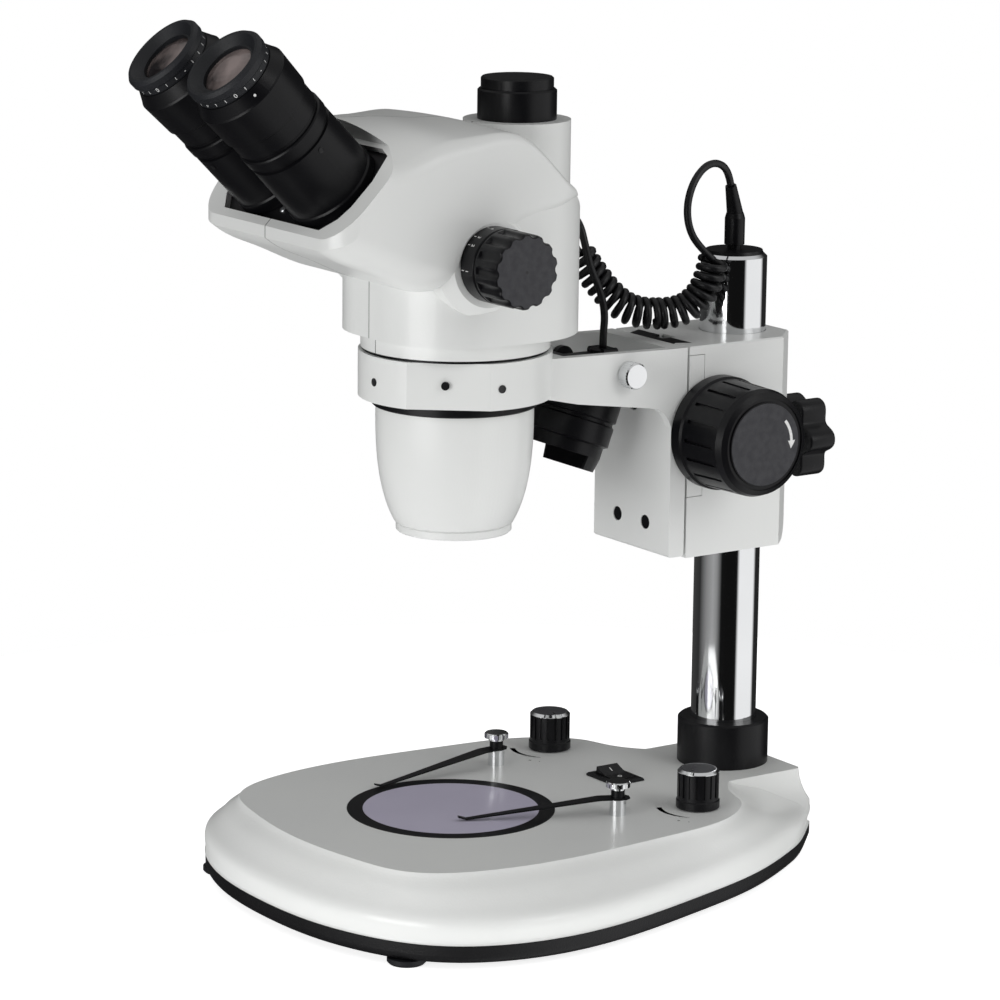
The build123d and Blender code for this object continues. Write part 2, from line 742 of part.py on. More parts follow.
def holder_casting():
    plate_rear = block_front - holder_gap
    half = block_half_width
    plate = slab((-half, half), (holder_plate_front, plate_rear), (holder_bottom, block_top))
    ring_start = ring_bore + 0.5
    side = [(ring_start - 12, ring_bottom), (ring_start - 12, ring_top - 3.5), (ring_start + 4, arm_top),
            (holder_plate_front + 1, block_top), (holder_plate_front + 1, arm_web_bottom - arm_fillet)]
    centre_y = holder_plate_front - arm_fillet
    centre_z = arm_web_bottom - arm_fillet
    steps = 4
    for index in range(1, steps + 1):
        angle = radians(90 * index / steps)
        side.append((centre_y + arm_fillet * cos(angle), centre_z + arm_fillet * sin(angle)))
    side.append((ring_start + 10, arm_web_bottom + 6))
    walls = side_profile(side, half)
    ring = tube_between(ring_radius, ring_bore - 8, (0, 0, ring_bottom), (0, 0, ring_top))
    trough = slab((-half + arm_wall, half - arm_wall), (ring_radius - 2, holder_plate_front), (holder_bottom, arm_top + 1))
    solid = walls - trough + ring + plate
    solid = chamfer(solid.edges().filter_by(Axis.X).group_by(Axis.Z)[0], 1)
    facet = slab((ring_radius - 6.5, ring_radius + 2), (-60, 20), (ring_bottom - 1, ring_top + 1))
    solid -= Rot(0, 0, -38) * Pos(2.2, 0, 0) * facet
    solid -= rod(ring_bore + running, (0, 0, ring_bottom - 20), (0, 0, ring_top + 20))
    solid -= rod(retainer_radius + 0.5, (0, 0, ring_bottom - 20), (0, 0, ring_bottom))
    for angle in ring_screw_angles():
        solid -= Rot(0, 0, angle) * rod(ring_screw_radius + slip, (ring_bore - 2, 0, ring_screw_z()),
                                        (ring_radius + 2, 0, ring_screw_z()))
    for x in (-plug_x, plug_x):
        solid -= rod(plug_radius + slip / 2, (x, holder_plate_front - 1, plug_z), (x, holder_plate_front + 4, plug_z))
    solid -= rod(thumb_stem_radius + running, (-half - 1, thumb_y, thumb_z), (half + 1, thumb_y, thumb_z))
    solid -= dovetail_screw_holes()
    return solid


def ring_screw_angles():
    """Headings of the set screws in the ring, counted from +X."""
    return (-40.0, -129.0)


def ring_screw_z():
    return (ring_bottom + ring_top) / 2 + 0.5


def dovetail_screw_holes():
    """Two counterbored holes that fix the slide rail to the plate."""
    holes = []
    for z in rail_screw_heights():
        holes.append(rod(2.1, (0, holder_plate_front - 1, z), (0, block_front, z)))
        holes.append(rod(4.1, (0, holder_plate_front - 1, z), (0, holder_plate_front + 4.5, z)))
    return group(holes)


def rail_screw_heights():
    return (holder_bottom + 26, block_top - 30)


def focus_rail():
    """Male dovetail on the back of the plate, grooved for the rack."""
    rail = dovetail(slip, holder_bottom, block_top)
    half = rack_half_width() + slip / 2
    rail -= slab((-half, half), (rack_back(), block_front + dovetail_depth + 1), (holder_bottom - 1, block_top + 1))
    for z in rail_screw_heights():
        rail -= rod(1.65, (0, block_front - holder_gap - 1, z), (0, block_front + 2, z))
    return rail


def rack_half_width():
    return pinion_width / 2 - 0.5


def rack_back():
    """Face of the groove that the rack lies in."""
    return block_front + 3.0


def focus_rack():
    """Toothed bar that the pinion drives."""
    pitch = pi * gear_module
    pitch_line = pinion_y - gear_module * pinion_teeth / 2
    root = pitch_line + 1.1 * gear_module * -1
    tip = pitch_line + 0.8 * gear_module
    low = holder_bottom + 12
    high = block_top - 1
    half = rack_half_width()
    bar = slab((-half, half), (rack_back(), root), (low, high))
    count = int((high - low - pitch) / pitch)
    first = pinion_z + pitch / 2
    shift = (first - low) % pitch
    for index in range(count):
        z = low + shift + index * pitch
        if low + pitch / 2 < z < high - pitch / 2:
            tooth = Polyline((0, root - 0.1, z - 0.3 * pitch), (0, tip, z - 0.1 * pitch),
                             (0, tip, z + 0.1 * pitch), (0, root - 0.1, z + 0.3 * pitch), close=True)
            bar += extrude(make_face(tooth), half, dir=(1, 0, 0), both=True)
    return bar


def rail_screws():
    """Socket-head screws in the front of the plate."""
    screws = []
    for z in rail_screw_heights():
        head = holder_plate_front + 0.7
        screw = turned([(1.2, head), (3.9, head), (3.9, holder_plate_front + 4.5), (1.6, holder_plate_front + 4.5),
                        (1.6, block_front + 1.8), (0, block_front + 1.8), (0, head + 2), (1.2, head + 2)],
                       (0, 0, z), (0, 1, 0))
        screws.append(screw)
    return screws


def plate_plugs():
    """Black plugs near the foot of the plate."""
    front = holder_plate_front + 0.4
    return [rod(plug_radius, (x, front, plug_z), (x, front + 3.4, plug_z)) for x in (-plug_x, plug_x)]


def ring_screws():
    """Set screws that hold the head in the ring."""
    screws = []
    for angle in ring_screw_angles():
        z = ring_screw_z()
        screw = rod(ring_screw_radius, (ring_bore + 2 * running + 0.3, 0, z), (ring_bore + 4.2, 0, z))
        screws.append(Rot(0, 0, angle) * screw)
    return screws


def thumb_screw():
    """Knurled screw outside the right wall that carries the lamp and sets its tilt."""
    start = block_half_width + loose
    knob = turned([(0, 0), (thumb_radius - 0.5, 0), (thumb_radius, 0.5), (thumb_radius, thumb_length - 0.7),
                   (thumb_radius - 0.7, thumb_length), (0, thumb_length)])
    for spot in PolarLocations(thumb_radius + 0.25, 28):
        knob -= spot * Pos(0, 0, thumb_length / 2) * Box(0.8, 0.6, thumb_length + 1)
    knob = Plane(origin=(start, thumb_y, thumb_z), x_dir=(0, 1, 0), z_dir=(1, 0, 0)).location * knob
    inner = block_half_width - arm_wall - loose
    return knob + rod(thumb_stem_radius, (inner, thumb_y, thumb_z), (start + 1, thumb_y, thumb_z))


# Lamp

def lamp_axis():
    """Unit vector from the lamp towards the middle of the stage glass."""
    reach = Vector(0, -thumb_y, base_top - thumb_z)
    return reach.normalized()


def lamp_plane():
    """Frame of the lamp: origin on the tilt axis, Z along the beam."""
    return Plane(origin=(0, thumb_y, thumb_z), x_dir=(1, 0, 0), z_dir=lamp_axis())


def lamp_housing():
    """Stepped barrel with cooling bands, open at its lower end."""
    top = 7.0
    step = lamp_band
    bore = lamp_lens_radius + slip
    barrel = turned([(0, top), (10, top), (13, top + 4), (lamp_radius - 1.5, top + 4),
                     (lamp_radius, top + 5.5), (lamp_radius, top + 5.5 + step), (lamp_radius - 1.2, top + 6.2 + step),
                     (lamp_radius - 1.2, top + 7.6 + step), (lamp_radius - 0.2, top + 8.3 + step),
                     (lamp_radius - 0.2, lamp_drop + 5.5), (lamp_radius - 2.2, lamp_drop + 6.5),
                     (lamp_radius - 2.2, lamp_drop + 12), (bore + 1, lamp_drop + 12), (bore, lamp_drop + 8),
                     (bore, lamp_drop + 1), (0, lamp_drop + 1)])
    return lamp_plane().location * (barrel + lamp_hood())


def lamp_hood():
    """Curved visor under the front of the lamp, one piece with its barrel."""
    outer = lamp_radius - 2.3
    start = lamp_drop + 12
    shell = turned([(outer - 1.6, start), (outer, start), (outer - 1.2, start + 6.5), (outer - 2.8, start + 6.5)])
    shell &= slab((-lamp_radius, lamp_radius), (-lamp_radius, -2), (start - 1, start + 8))
    return shell


def lamp_lens():
    start = lamp_drop + 1
    return lamp_plane().location * turned([(0, start), (lamp_lens_radius, start), (lamp_lens_radius, start + 3),
                                           (0.7 * lamp_lens_radius, start + 4.2), (0, start + 4.8)])


def lamp_bracket():
    """Yoke with two ears on the tilt axis."""
    inner = block_half_width - arm_wall
    outer_face = inner - 1.0
    ear_radius = 5.5
    yoke = slab((-outer_face, outer_face), (-ear_radius, ear_radius), (3.5, 6.9))
    for side in (-1, 1):
        near = side * (outer_face - lamp_ear_thickness)
        far = side * outer_face
        yoke += rod(ear_radius, (near, 0, 0), (far, 0, 0))
        yoke += slab(sorted((near, far)), (-ear_radius, ear_radius), (0, 6.9))
    yoke -= rod(thumb_stem_radius + running, (outer_face - lamp_ear_thickness - 1, 0, 0), (outer_face + 1, 0, 0))
    yoke += rod(thumb_stem_radius, (-outer_face + 1, 0, 0), (-inner - arm_wall + 0.5, 0, 0))
    return lamp_plane().location * yoke


def cable_clamp():
    """Strap across the trough with a saddle that grips the lamp lead."""
    inner = block_half_width - arm_wall
    z = arm_top - 7
    strap_y = 60.0
    strap = slab((-inner, inner), (strap_y - 4, strap_y + 4), (z, z + 1.6))
    tongue = slab((-4, 8), (strap_y + 3, clamp_top[1] + 5), (z, z + 1.6))
    saddle = slab((clamp_top[0] - 5, clamp_top[0] + 5), (clamp_top[1] - 5, clamp_top[1] + 5), (z, clamp_top[2]))
    saddle = fillet(saddle.edges().filter_by(Axis.Z), 2)
    saddle = chamfer(saddle.faces().sort_by(Axis.Z)[-1].edges(), 0.8)
    ribs = [rod(2.2, (clamp_top[0] + side * 5, clamp_top[1] - 4, z + 2.2),
                (clamp_top[0] + side * 5, clamp_top[1] + 4, z + 2.2)) for side in (-1, 1)]
    return strap + tongue + saddle + ribs[0] + ribs[1]


# Head

def column_solid():
    """Lower column of the head, with larger rear corners."""
    half = column_half_width
    front = -column_front
    rear = column_rear
    low = neck_bottom + neck_height
    plan = Polyline((-half, front), (half, front), (half, rear), (-half, rear), close=True)
    column = Pos(0, 0, low) * extrude(make_face(plan), mouth_z + 14 - low)
    upright = column.edges().filter_by(Axis.Z)
    column = fillet(upright.group_by(Axis.Y)[0], column_front_corner)
    column = fillet(column.edges().filter_by(Axis.Z).group_by(Axis.Y)[-1], column_rear_corner)
    slope = [(0, 367.2), (60, 315.5), (60, 400), (0, 400)]
    return column - side_profile(slope, 2 * half)


def mouth_point(v, outward=0.0):
    """A point of the mouth's middle line as (Y, Z): v up its slope, outward from its face."""
    slope = radians(mouth_tilt)
    return (mouth_y + v * cos(slope) - outward * sin(slope), mouth_z + v * sin(slope) + outward * cos(slope))


def head_section(y, half_width, bottom, top, crown, crease):
    """Cross section of the upper body: its top is arched by the crown, its edges are soft."""
    shoulder = top - crown
    lower = (half_width - 2, bottom)
    sides = Polyline((-half_width, shoulder), (-lower[0], bottom), lower, (half_width, shoulder))
    arch = ThreePointArc((half_width, shoulder), (0, top), (-half_width, shoulder))
    face = make_face(sides + arch)
    tallest = 0.42 * (shoulder - bottom)
    face = fillet(face.vertices().group_by(Axis.Y)[0], min(tallest, body_underside_radius))
    face = fillet(face.vertices().group_by(Axis.Y)[-1], min(tallest, crease))
    return Plane(origin=(0, y, 0), x_dir=(-1, 0, 0), z_dir=(0, 1, 0)) * face


def body_stations():
    """Y, half width, bottom, top, crown and crease radius of each cross section, front to rear."""
    lip = lip_half_width
    half = body_half_width
    return [
        (-118, lip - 1, 325.5, 396.0, 16.0, 9.0),
        (-98, lip, 316.5, 382.0, 17.0, 9.0),
        (-80, lip, 308.4, 374.0, 18.0, 9.0),
        (-62, lip - 2.5, 300.2, 371.2, 16.0, 9.0),
        (-44, half + 1.2, 296.4, 370.6, 9.0, 9.0),
        (-24, half - 0.5, 303.0, 368.8, 4.0, 7.0),
        (3, half - 2.0, 319.0, 364.6, 1.2, 4.5),
        (19, half - 2.5, 327.0, 350.9, 1.0, 3.5),
        (30, half - 5.5, 332.0, 341.4, 0.8, 2.5),
        (38, half - 11.5, 333.6, 334.9, 0.5, 0.3),
    ]


def upper_body():
    """Upper body, cut off by the mouth and rounded at its front corners."""
    body = loft([head_section(*station) for station in body_stations()])
    rear = mouth_plate_length + 2.5
    above_mouth = [mouth_point(-60, 0.6), mouth_point(rear, 0.6), mouth_point(rear + 3.5, 10.0),
                   mouth_point(rear + 3.5, 80.0), mouth_point(-60, 80.0)]
    body -= side_profile(above_mouth, 2 * lip_half_width)
    nose = mouth_y - lip_nose
    plan = Pos(0, nose + 100) * Rectangle(2 * lip_half_width, 200)
    plan = fillet(plan.vertices().group_by(Axis.Y)[0], lip_corner_radius)
    body &= Pos(0, 0, 280) * extrude(plan, 120)
    return body


def mouth_plane(offset=0.0):
    """Frame of the mouth: origin at its front edge, X across, Y up the slope, Z outward."""
    y, z = mouth_point(0, offset)
    slope = radians(mouth_tilt)
    return Plane(origin=(0, y, z), x_dir=(1, 0, 0), z_dir=(0, -sin(slope), cos(slope)))


def mouth_outline(grow=0.0):
    """Outline of the black plate in the mouth."""
    half = mouth_plate_half_width + grow
    end = mouth_plate_length + grow
    front = -grow
    straight = mouth_plate_front
    points = [(-straight, front), (straight, front), (half - 3, 7.5), (half - 0.5, 15), (half, 30),
              (half - 3.5, end - 3.0), (half - 11, end), (11 - half, end), (3.5 - half, end - 3.0), (-half, 30),
              (0.5 - half, 15), (3 - half, 7.5)]
    return make_face(Polyline(*points, close=True))


def head_solid():
    body = upper_body() + column_solid()
    body += tube_between(photo_tube_radius, adapter_radius - 3, (0, photo_tube_y, 310), (0, photo_tube_y, photo_tube_top))
    for side in (-1, 1):
        boss = turned([(0, column_half_width - 12), (zoom_boss_root_radius, column_half_width - 12),
                       (zoom_boss_root_radius, column_half_width - 3),
                       (zoom_boss_radius, zoom_boss_end), (0, zoom_boss_end)],
                      (0, zoom_y, zoom_z), (side, 0, 0))
        body += boss
    body += turned([(0, neck_bottom), (neck_radius, neck_bottom), (neck_radius, neck_bottom + neck_height + 1),
                    (0, neck_bottom + neck_height + 1)])
    recess = mouth_plane(-mouth_depth).location * extrude(mouth_outline(slip), 30)
    body -= recess
    body -= rod(shaft_radius + running, (-zoom_grip_end, zoom_y, zoom_z), (zoom_grip_end, zoom_y, zoom_z))
    for side in (-1, 1):
        body -= rod(zoom_scale_radius + 1, (side * zoom_boss_end, zoom_y, zoom_z), (side * zoom_grip_end, zoom_y, zoom_z))
    body -= rod(neck_radius - 12, (0, 0, neck_bottom - 1), (0, 0, neck_bottom + 3))
    for side in (-1, 1):
        body -= pivot_stud(side, slip / 2 + running)
    return body


def head_shell(side, whole):
    """One half of the head, parted on the middle plane."""
    seam = slip / 2
    keep = slab(sorted((side * seam, side * 90)), (-150, 90), (240, 400))
    return whole & keep


def neck_flange():
    """Mount boss that turns in the ring, with the dark gasket that shows above it."""
    return turned([(ring_bore - 9, ring_bottom), (ring_bore, ring_bottom), (ring_bore, ring_top + slip),
                   (gasket_radius, ring_top + slip), (gasket_radius, neck_bottom), (ring_bore - 9, neck_bottom)])


def retainer():
    """Black band screwed on under the ring."""
    return turned([(ring_bore - 9, retainer_bottom), (retainer_radius - 0.6, retainer_bottom),
                   (retainer_radius, retainer_bottom + 0.6), (retainer_radius, ring_bottom - slip),
                   (ring_bore - 0.3, ring_bottom - slip), (ring_bore - 0.3, ring_bottom),
                   (ring_bore - 9, ring_bottom)])


def objective_housing():
    """Bulging white housing below the ring, narrowing to the front lens."""
    top = retainer_bottom
    bottom = objective_waist_z
    height = top - bottom
    outer = Spline((objective_top_radius, 0, top), (objective_top_radius - 1.9, 0, bottom + 0.4 * height),
                   (objective_waist_radius + 3.1, 0, bottom + 0.12 * height), (objective_waist_radius, 0, bottom),
                   tangents=[(0, 0, -1), (-0.6, 0, -1)])
    wall = Polyline((objective_waist_radius, 0, bottom), (objective_lens_radius - 1, 0, bottom),
                    (objective_lens_radius - 1, 0, top), (objective_top_radius, 0, top))
    return revolve(make_face(outer + wall), Axis.Z)


def objective_ring():
    """End ring with a female thread for an auxiliary lens."""
    top = objective_waist_z
    bottom = objective_ring_bottom
    rim = objective_ring_radius
    return turned([(objective_thread_radius, bottom), (rim - 0.5, bottom), (rim, bottom + 0.5), (rim, top - 1),
                   (rim - 0.8, top), (objective_lens_radius - 1, top), (objective_lens_radius - 1, top - 0.4),
                   (objective_thread_radius, top - 0.4)])


def objective_lens():
    """Front lens above the thread."""
    low = objective_waist_z
    radius = objective_lens_radius - 1 - slip
    return turned([(0, low + 1.0), (0.6 * radius, low + 1.5), (radius, low + 2.6), (radius, low + 7), (0, low + 7)])


def pivot_stud(side, grow=0.0):
    """Eccentric stud square to the mouth's plate, on which a tube swings."""
    plane = mouth_plane(mouth_plate_thickness - mouth_depth + loose)
    place = (side * tube_x, tube_pivot_v)
    return plane.location * rod(3.0 + grow, (*place, -8 - grow), (*place, 1.0))


def eyepiece_plate():
    """Black plate in the mouth."""
    plate = mouth_plane(-mouth_depth).location * extrude(mouth_outline(), mouth_plate_thickness)
    for side in (-1, 1):
        plate -= pivot_stud(side, running)
    return plate


def tube_plane(side, along=0.0):
    """Frame of an eyepiece tube: Z along its axis, Y up the mouth's slope."""
    splay = radians(side * tube_splay)
    mouth = mouth_plane(mouth_plate_thickness - mouth_depth + loose)
    foot = mouth.from_local_coords((side * tube_x, tube_v, 0))
    direction = mouth.x_dir * sin(splay) + mouth.z_dir * cos(splay)
    across = mouth.x_dir * cos(splay) - mouth.z_dir * sin(splay)
    return Plane(origin=foot + direction * along, x_dir=across, z_dir=direction)


def eyepiece_tube(side):
    """Flange, barrel and two grooved rings; its foot is cut parallel to the plate under it."""
    radius = tube_radius
    groove = tube_radius - 1.4
    lift = tube_flange_radius * tan(radians(tube_splay))
    profile = [(tube_foot_bore, -lift), (tube_flange_radius, -lift), (tube_flange_radius, 4.6), (radius, 5.4),
               (radius - 0.3, 34.4), (groove, 34.8), (groove, 37), (radius, 37.2), (radius, 42),
               (radius - 0.6, 42.6), (groove, 42.8), (groove, tube_length), (15.2, tube_length), (15.2, 20),
               (tube_foot_bore, 20)]
    barrel = tube_plane(side).location * turned(profile)
    seat = mouth_plane(mouth_plate_thickness - mouth_depth + loose)
    below = seat.location * (Pos(0, tube_v, -10) * Box(140, 120, 20))
    return (barrel - below) + pivot_stud(side)


def eyepiece_body(side):
    """Eyepiece with a shoulder that rests on the tube and a bevelled front."""
    start = tube_length + slip
    end = start + eyepiece_length
    nose = 15.2 - slip
    profile = [(12.5, start - 18), (nose, start - 18), (nose, start), (tube_radius - 1.4, start),
               (tube_radius - 1.4, start + 0.6), (tube_radius - 0.6, start + 0.8),
               (tube_radius - 0.5, start + eyepiece_neck), (eyepiece_radius - 0.6, start + eyepiece_neck + 0.6),
               (eyepiece_radius, end - 6), (eyepiece_radius - 0.5, end - 5.2),
               (diopter_radius + 0.6, end), (14.2, end), (14.2, end - 6), (12.5, end - 6)]
    return tube_plane(side).location * turned(profile)


def diopter_ring(side):
    """Thin scale ring that turns with the eyecup."""
    start = tube_length + eyepiece_length + 2 * slip
    end = start + diopter_length
    profile = [(12.6, start - 5), (14.2 - running, start - 5), (14.2 - running, start), (diopter_radius, start),
               (diopter_radius, end), (12.6, end)]
    return tube_plane(side).location * turned(profile)


def eyecup(side):
    """Rubber cup with a dished rim round the lens."""
    start = tube_length + eyepiece_length + diopter_length + 2 * slip
    end = start + eyecup_length
    profile = [(12.6, start), (eyecup_radius - 0.4, start), (eyecup_radius, start + 0.6), (eyecup_radius, end - 1.6),
               (eyecup_radius - 1.2, end), (eyecup_radius - 2.6, end), (13.4, end - 3.6), (12.6, end - 3.6)]
    return tube_plane(side).location * turned(profile)


def eye_lens(side):
    """Domed eye lens inside the cup."""
    base = tube_length + eyepiece_length + 2 * slip
    radius = 12.6 - slip
    return tube_plane(side).location * turned([(0, base - 2), (radius, base - 2), (radius, base + 3),
                                               (0.6 * radius, base + 4.4), (0, base + 4.9)])


# Zoom knobs

def zoom_shaft():
    end = zoom_scale_end + 6
    return rod(shaft_radius, (-end, zoom_y, zoom_z), (end, zoom_y, zoom_z))


def zoom_knob(side):
    """Smooth scale ring and a fluted grip."""
    start = zoom_boss_end + loose
    grip = zoom_grip_radius
    end = zoom_grip_end
    knob = turned([(shaft_radius, start), (zoom_scale_radius, start), (zoom_scale_radius, zoom_scale_end - 0.3),
                   (zoom_scale_radius - 1, zoom_scale_end), (grip, zoom_scale_end + 0.8), (grip - 0.4, end - 2.0),
                   (grip - 2.2, end), (0, end), (0, zoom_scale_end + 6), (shaft_radius, zoom_scale_end + 6)])
    flute_radius = 3.2
    for spot in PolarLocations(grip + 0.62 * flute_radius, zoom_flutes):
        knob -= spot * rod(flute_radius, (0, 0, zoom_scale_end + 1.2), (0, 0, end - 1.4))
    plane = Plane(origin=(0, zoom_y, zoom_z), x_dir=(0, 1, 0), z_dir=(side, 0, 0))
    return plane.location * knob


# Photo port

def photo_adapter():
    """Black adapter on the white photo tube."""
    low = photo_tube_top
    high = low + adapter_height
    inner = photo_cap_radius - 4
    return turned([(inner, low - 12), (adapter_radius - 3 - slip, low - 12), (adapter_radius - 3 - slip, low),
                   (adapter_radius, low), (adapter_radius, high - 0.8), (adapter_radius - 0.8, high),
                   (inner, high)], (0, photo_tube_y, 0))


def photo_cap():
    """Dust cap that lifts out of the adapter."""
    low = photo_tube_top + adapter_height
    high = low + photo_cap_height
    stem = photo_cap_radius - 4 - running
    return turned([(0, low - photo_cap_depth), (stem, low - photo_cap_depth), (stem, low), (photo_cap_radius, low),
                   (photo_cap_radius, high - 0.7), (photo_cap_radius - 0.7, high), (0, high)], (0, photo_tube_y, 0))


# Lamp lead

def route(points, radius):
    """A tube along straight runs joined by tangent arcs, as large as their runs allow."""
    places = [Vector(*point) for point in points]
    bends = []
    for before, corner, after in zip(places, places[1:], places[2:]):
        turn = radians((corner - before).get_angle(after - corner))
        shorter = min((corner - before).length, (after - corner).length)
        bends.append(0.45 * shorter / tan(turn / 2))
    print("bend radii", [round(bend, 1) for bend in bends])
    path = FilletPolyline(*places, radius=bends)
    start = Plane(origin=path @ 0, z_dir=path % 0)
    return sweep(start * Circle(radius), path)


def lead_plug():
    """Plug in the pillar's socket, with a ribbed relief that leans a little forward."""
    bottom = pillar_top + cap_height
    body = turned([(0, bottom - 8), (jack_radius - slip, bottom - 8), (jack_radius - slip, bottom), (3.4, bottom),
                   (3.4, bottom + 2), (lead_plug_radius, bottom + 2.4), (lead_plug_radius, bottom + 15),
                   (lead_plug_radius - 0.7, bottom + 17.5), (0, bottom + 17.5)], (0, pillar_y, 0))
    relief = turned([(0, 0), (lead_plug_radius - 0.9, 0), (wire_radius + 0.9, 15), (0, 15)], relief_start, relief_lean)
    return body + relief


def loop_points():
    """Plain loop from the plug over to the curly stretch."""
    return [relief_end, ahead(relief_end, relief_lean, 8), (5.4, 146.0, 337.6), (7.5, 136.6, 336.6),
            (9.5, 128.2, 329.4), (11.2, 123.6, 319.0), (12.6, 124.0, 308.4), (14.0, 128.8, 299.8), coil_start]


def coil_rear_points():
    """Rear half of the curly stretch, down from the pillar's top."""
    return [coil_start, (15.4, 134.8, 282.6), (12.6, 129.6, 273.0), ahead(coil_middle, coil_middle_heading, -9),
            coil_middle]


def coil_front_points():
    """Front half of the curly stretch, up behind the head."""
    return [ahead(coil_middle, coil_middle_heading, slip), ahead(coil_middle, coil_middle_heading, 9),
            (-3.6, 94.6, 272.6), ahead(coil_end, coil_end_heading, -12), coil_end]


def tail_points():
    """Plain tail: over in a hidden bend behind the head, then down to the clamp."""
    x, y, z = clamp_top
    return [ahead(coil_end, coil_end_heading, slip), ahead(coil_end, coil_end_heading, 10), (-15.0, 71.5, 313.5),
            (-7.5, 69.5, 317.5), (0.5, 69.5, 313.0), (3.5, 70.5, 303.0), (3.2, 74.0, 292.0), (x, y - 2, 281.0),
            (x, y + 1, 269.5), (x, y, z + 6), (x, y, z)]


nodes = {
    "base_casting": base_casting(),
    "base_plate": base_plate(),
    "feet": feet(),
    "pillar": pillar(),
    "pillar_collar": pillar_collar(),
    "pillar_cap": pillar_cap(),
    "stage_ring": stage_ring(),
    "stage_plate": stage_plate(),
    "led_board": led_board(),
    "control_board": control_board(),
    "clip_posts": clip_posts(),
    "switch_bezel": switch_bezel(),
    "switch_rocker": switch_rocker(),
    "power_inlet": power_inlet(),
    "guide_bush": guide_bush(),
    "focus_block": focus_block(),
    "rail_covers": rail_covers(),
    "clamp_knob": star_knob(),
    "pinion_shaft": pinion_shaft(),
    "holder_casting": holder_casting(),
    "focus_rail": focus_rail(),
    "focus_rack": focus_rack(),
    "holder_screws": group(rail_screws() + ring_screws() + plate_plugs()),
    "arm_thumb_screw": thumb_screw(),
    "lamp_housing": lamp_housing(),
    "lamp_lens": lamp_lens(),
    "lamp_bracket": lamp_bracket(),
    "cable_clamp": cable_clamp(),
    "neck_flange": neck_flange(),
    "retaining_ring": retainer(),
    "objective_housing": objective_housing(),
    "objective_ring": objective_ring(),
    "objective_lens": objective_lens(),
    "eyepiece_plate": eyepiece_plate(),
    "zoom_shaft": zoom_shaft(),
    "photo_adapter": photo_adapter(),
    "photo_cap": photo_cap(),
    "lead_plug": lead_plug(),
    "lead_loop": route(loop_points(), wire_radius),
    "lead_coil_rear": route(coil_rear_points(), coil_radius),
    "lead_coil_front": route(coil_front_points(), coil_radius),
    "lead_tail": route(tail_points(), wire_radius),
}
head = head_solid()
for side, side_name in ((1, "right"), (-1, "left")):
    nodes[f"clip_{side_name}"] = clip(side)
    nodes[f"dimmer_knob_{side_name}"] = group([dimmer_knob(side), dimmer_shaft(side)])
    nodes[f"focus_knob_{side_name}"] = focus_knob(side)
    nodes[f"head_shell_{side_name}"] = head_shell(side, head)
    nodes[f"zoom_knob_{side_name}"] = zoom_knob(side)
    nodes[f"tube_{side_name}"] = eyepiece_tube(side)
    nodes[f"eyepiece_{side_name}"] = eyepiece_body(side)
    nodes[f"eyecup_{side_name}"] = group([diopter_ring(side), eyecup(side)])
    nodes[f"eye_lens_{side_name}"] = eye_lens(side)
print("pieces", len(nodes))

for name, shape in nodes.items():
    placed = shape.moved(Location((0, -footprint_middle, 0)))
    placed.label = name
    export_step(placed, f"parts/{name}.step")
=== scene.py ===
import bpy
import bmesh
import json
from math import atan2, cos, degrees, hypot, sin, sqrt, pi, radians
from mathutils import Matrix, Vector
from mathutils.bvhtree import BVHTree


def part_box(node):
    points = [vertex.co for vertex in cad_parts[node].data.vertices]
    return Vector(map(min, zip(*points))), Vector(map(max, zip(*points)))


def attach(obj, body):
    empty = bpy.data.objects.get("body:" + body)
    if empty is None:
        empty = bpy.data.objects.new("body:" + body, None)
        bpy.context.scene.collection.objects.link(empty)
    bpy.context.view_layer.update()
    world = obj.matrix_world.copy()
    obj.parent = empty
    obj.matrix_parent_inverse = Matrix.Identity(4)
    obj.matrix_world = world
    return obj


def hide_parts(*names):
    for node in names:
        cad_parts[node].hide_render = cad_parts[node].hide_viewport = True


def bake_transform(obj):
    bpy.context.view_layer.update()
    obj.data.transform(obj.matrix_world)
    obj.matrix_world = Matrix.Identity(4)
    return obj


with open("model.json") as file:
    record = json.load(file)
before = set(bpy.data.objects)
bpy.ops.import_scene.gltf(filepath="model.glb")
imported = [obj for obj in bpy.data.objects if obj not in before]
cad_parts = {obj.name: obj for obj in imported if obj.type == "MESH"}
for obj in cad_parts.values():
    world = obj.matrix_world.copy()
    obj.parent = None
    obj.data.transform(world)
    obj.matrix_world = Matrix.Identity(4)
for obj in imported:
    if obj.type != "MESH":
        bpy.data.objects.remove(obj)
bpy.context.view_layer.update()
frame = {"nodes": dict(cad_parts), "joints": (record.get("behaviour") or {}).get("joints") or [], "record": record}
nodes = frame["nodes"]
mm = 0.001


# The optical axis of the head, in the row frame
axisY = sum(corner.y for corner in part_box("stage_plate")) / 2
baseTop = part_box("base_casting")[1].z


# Camera, from the photo's own vanishing lines; its place is counted from the optical axis
cameraSettings = {
    "place": (1.58307, -1.06722, 0.60613),
    "heading": 55.37,
    "dip": 12.33,
    "roll": 0.69,
    "lens": 151.2,
    "sensor": 36,
    "nearest": 0.05,
    "farthest": 40,
}


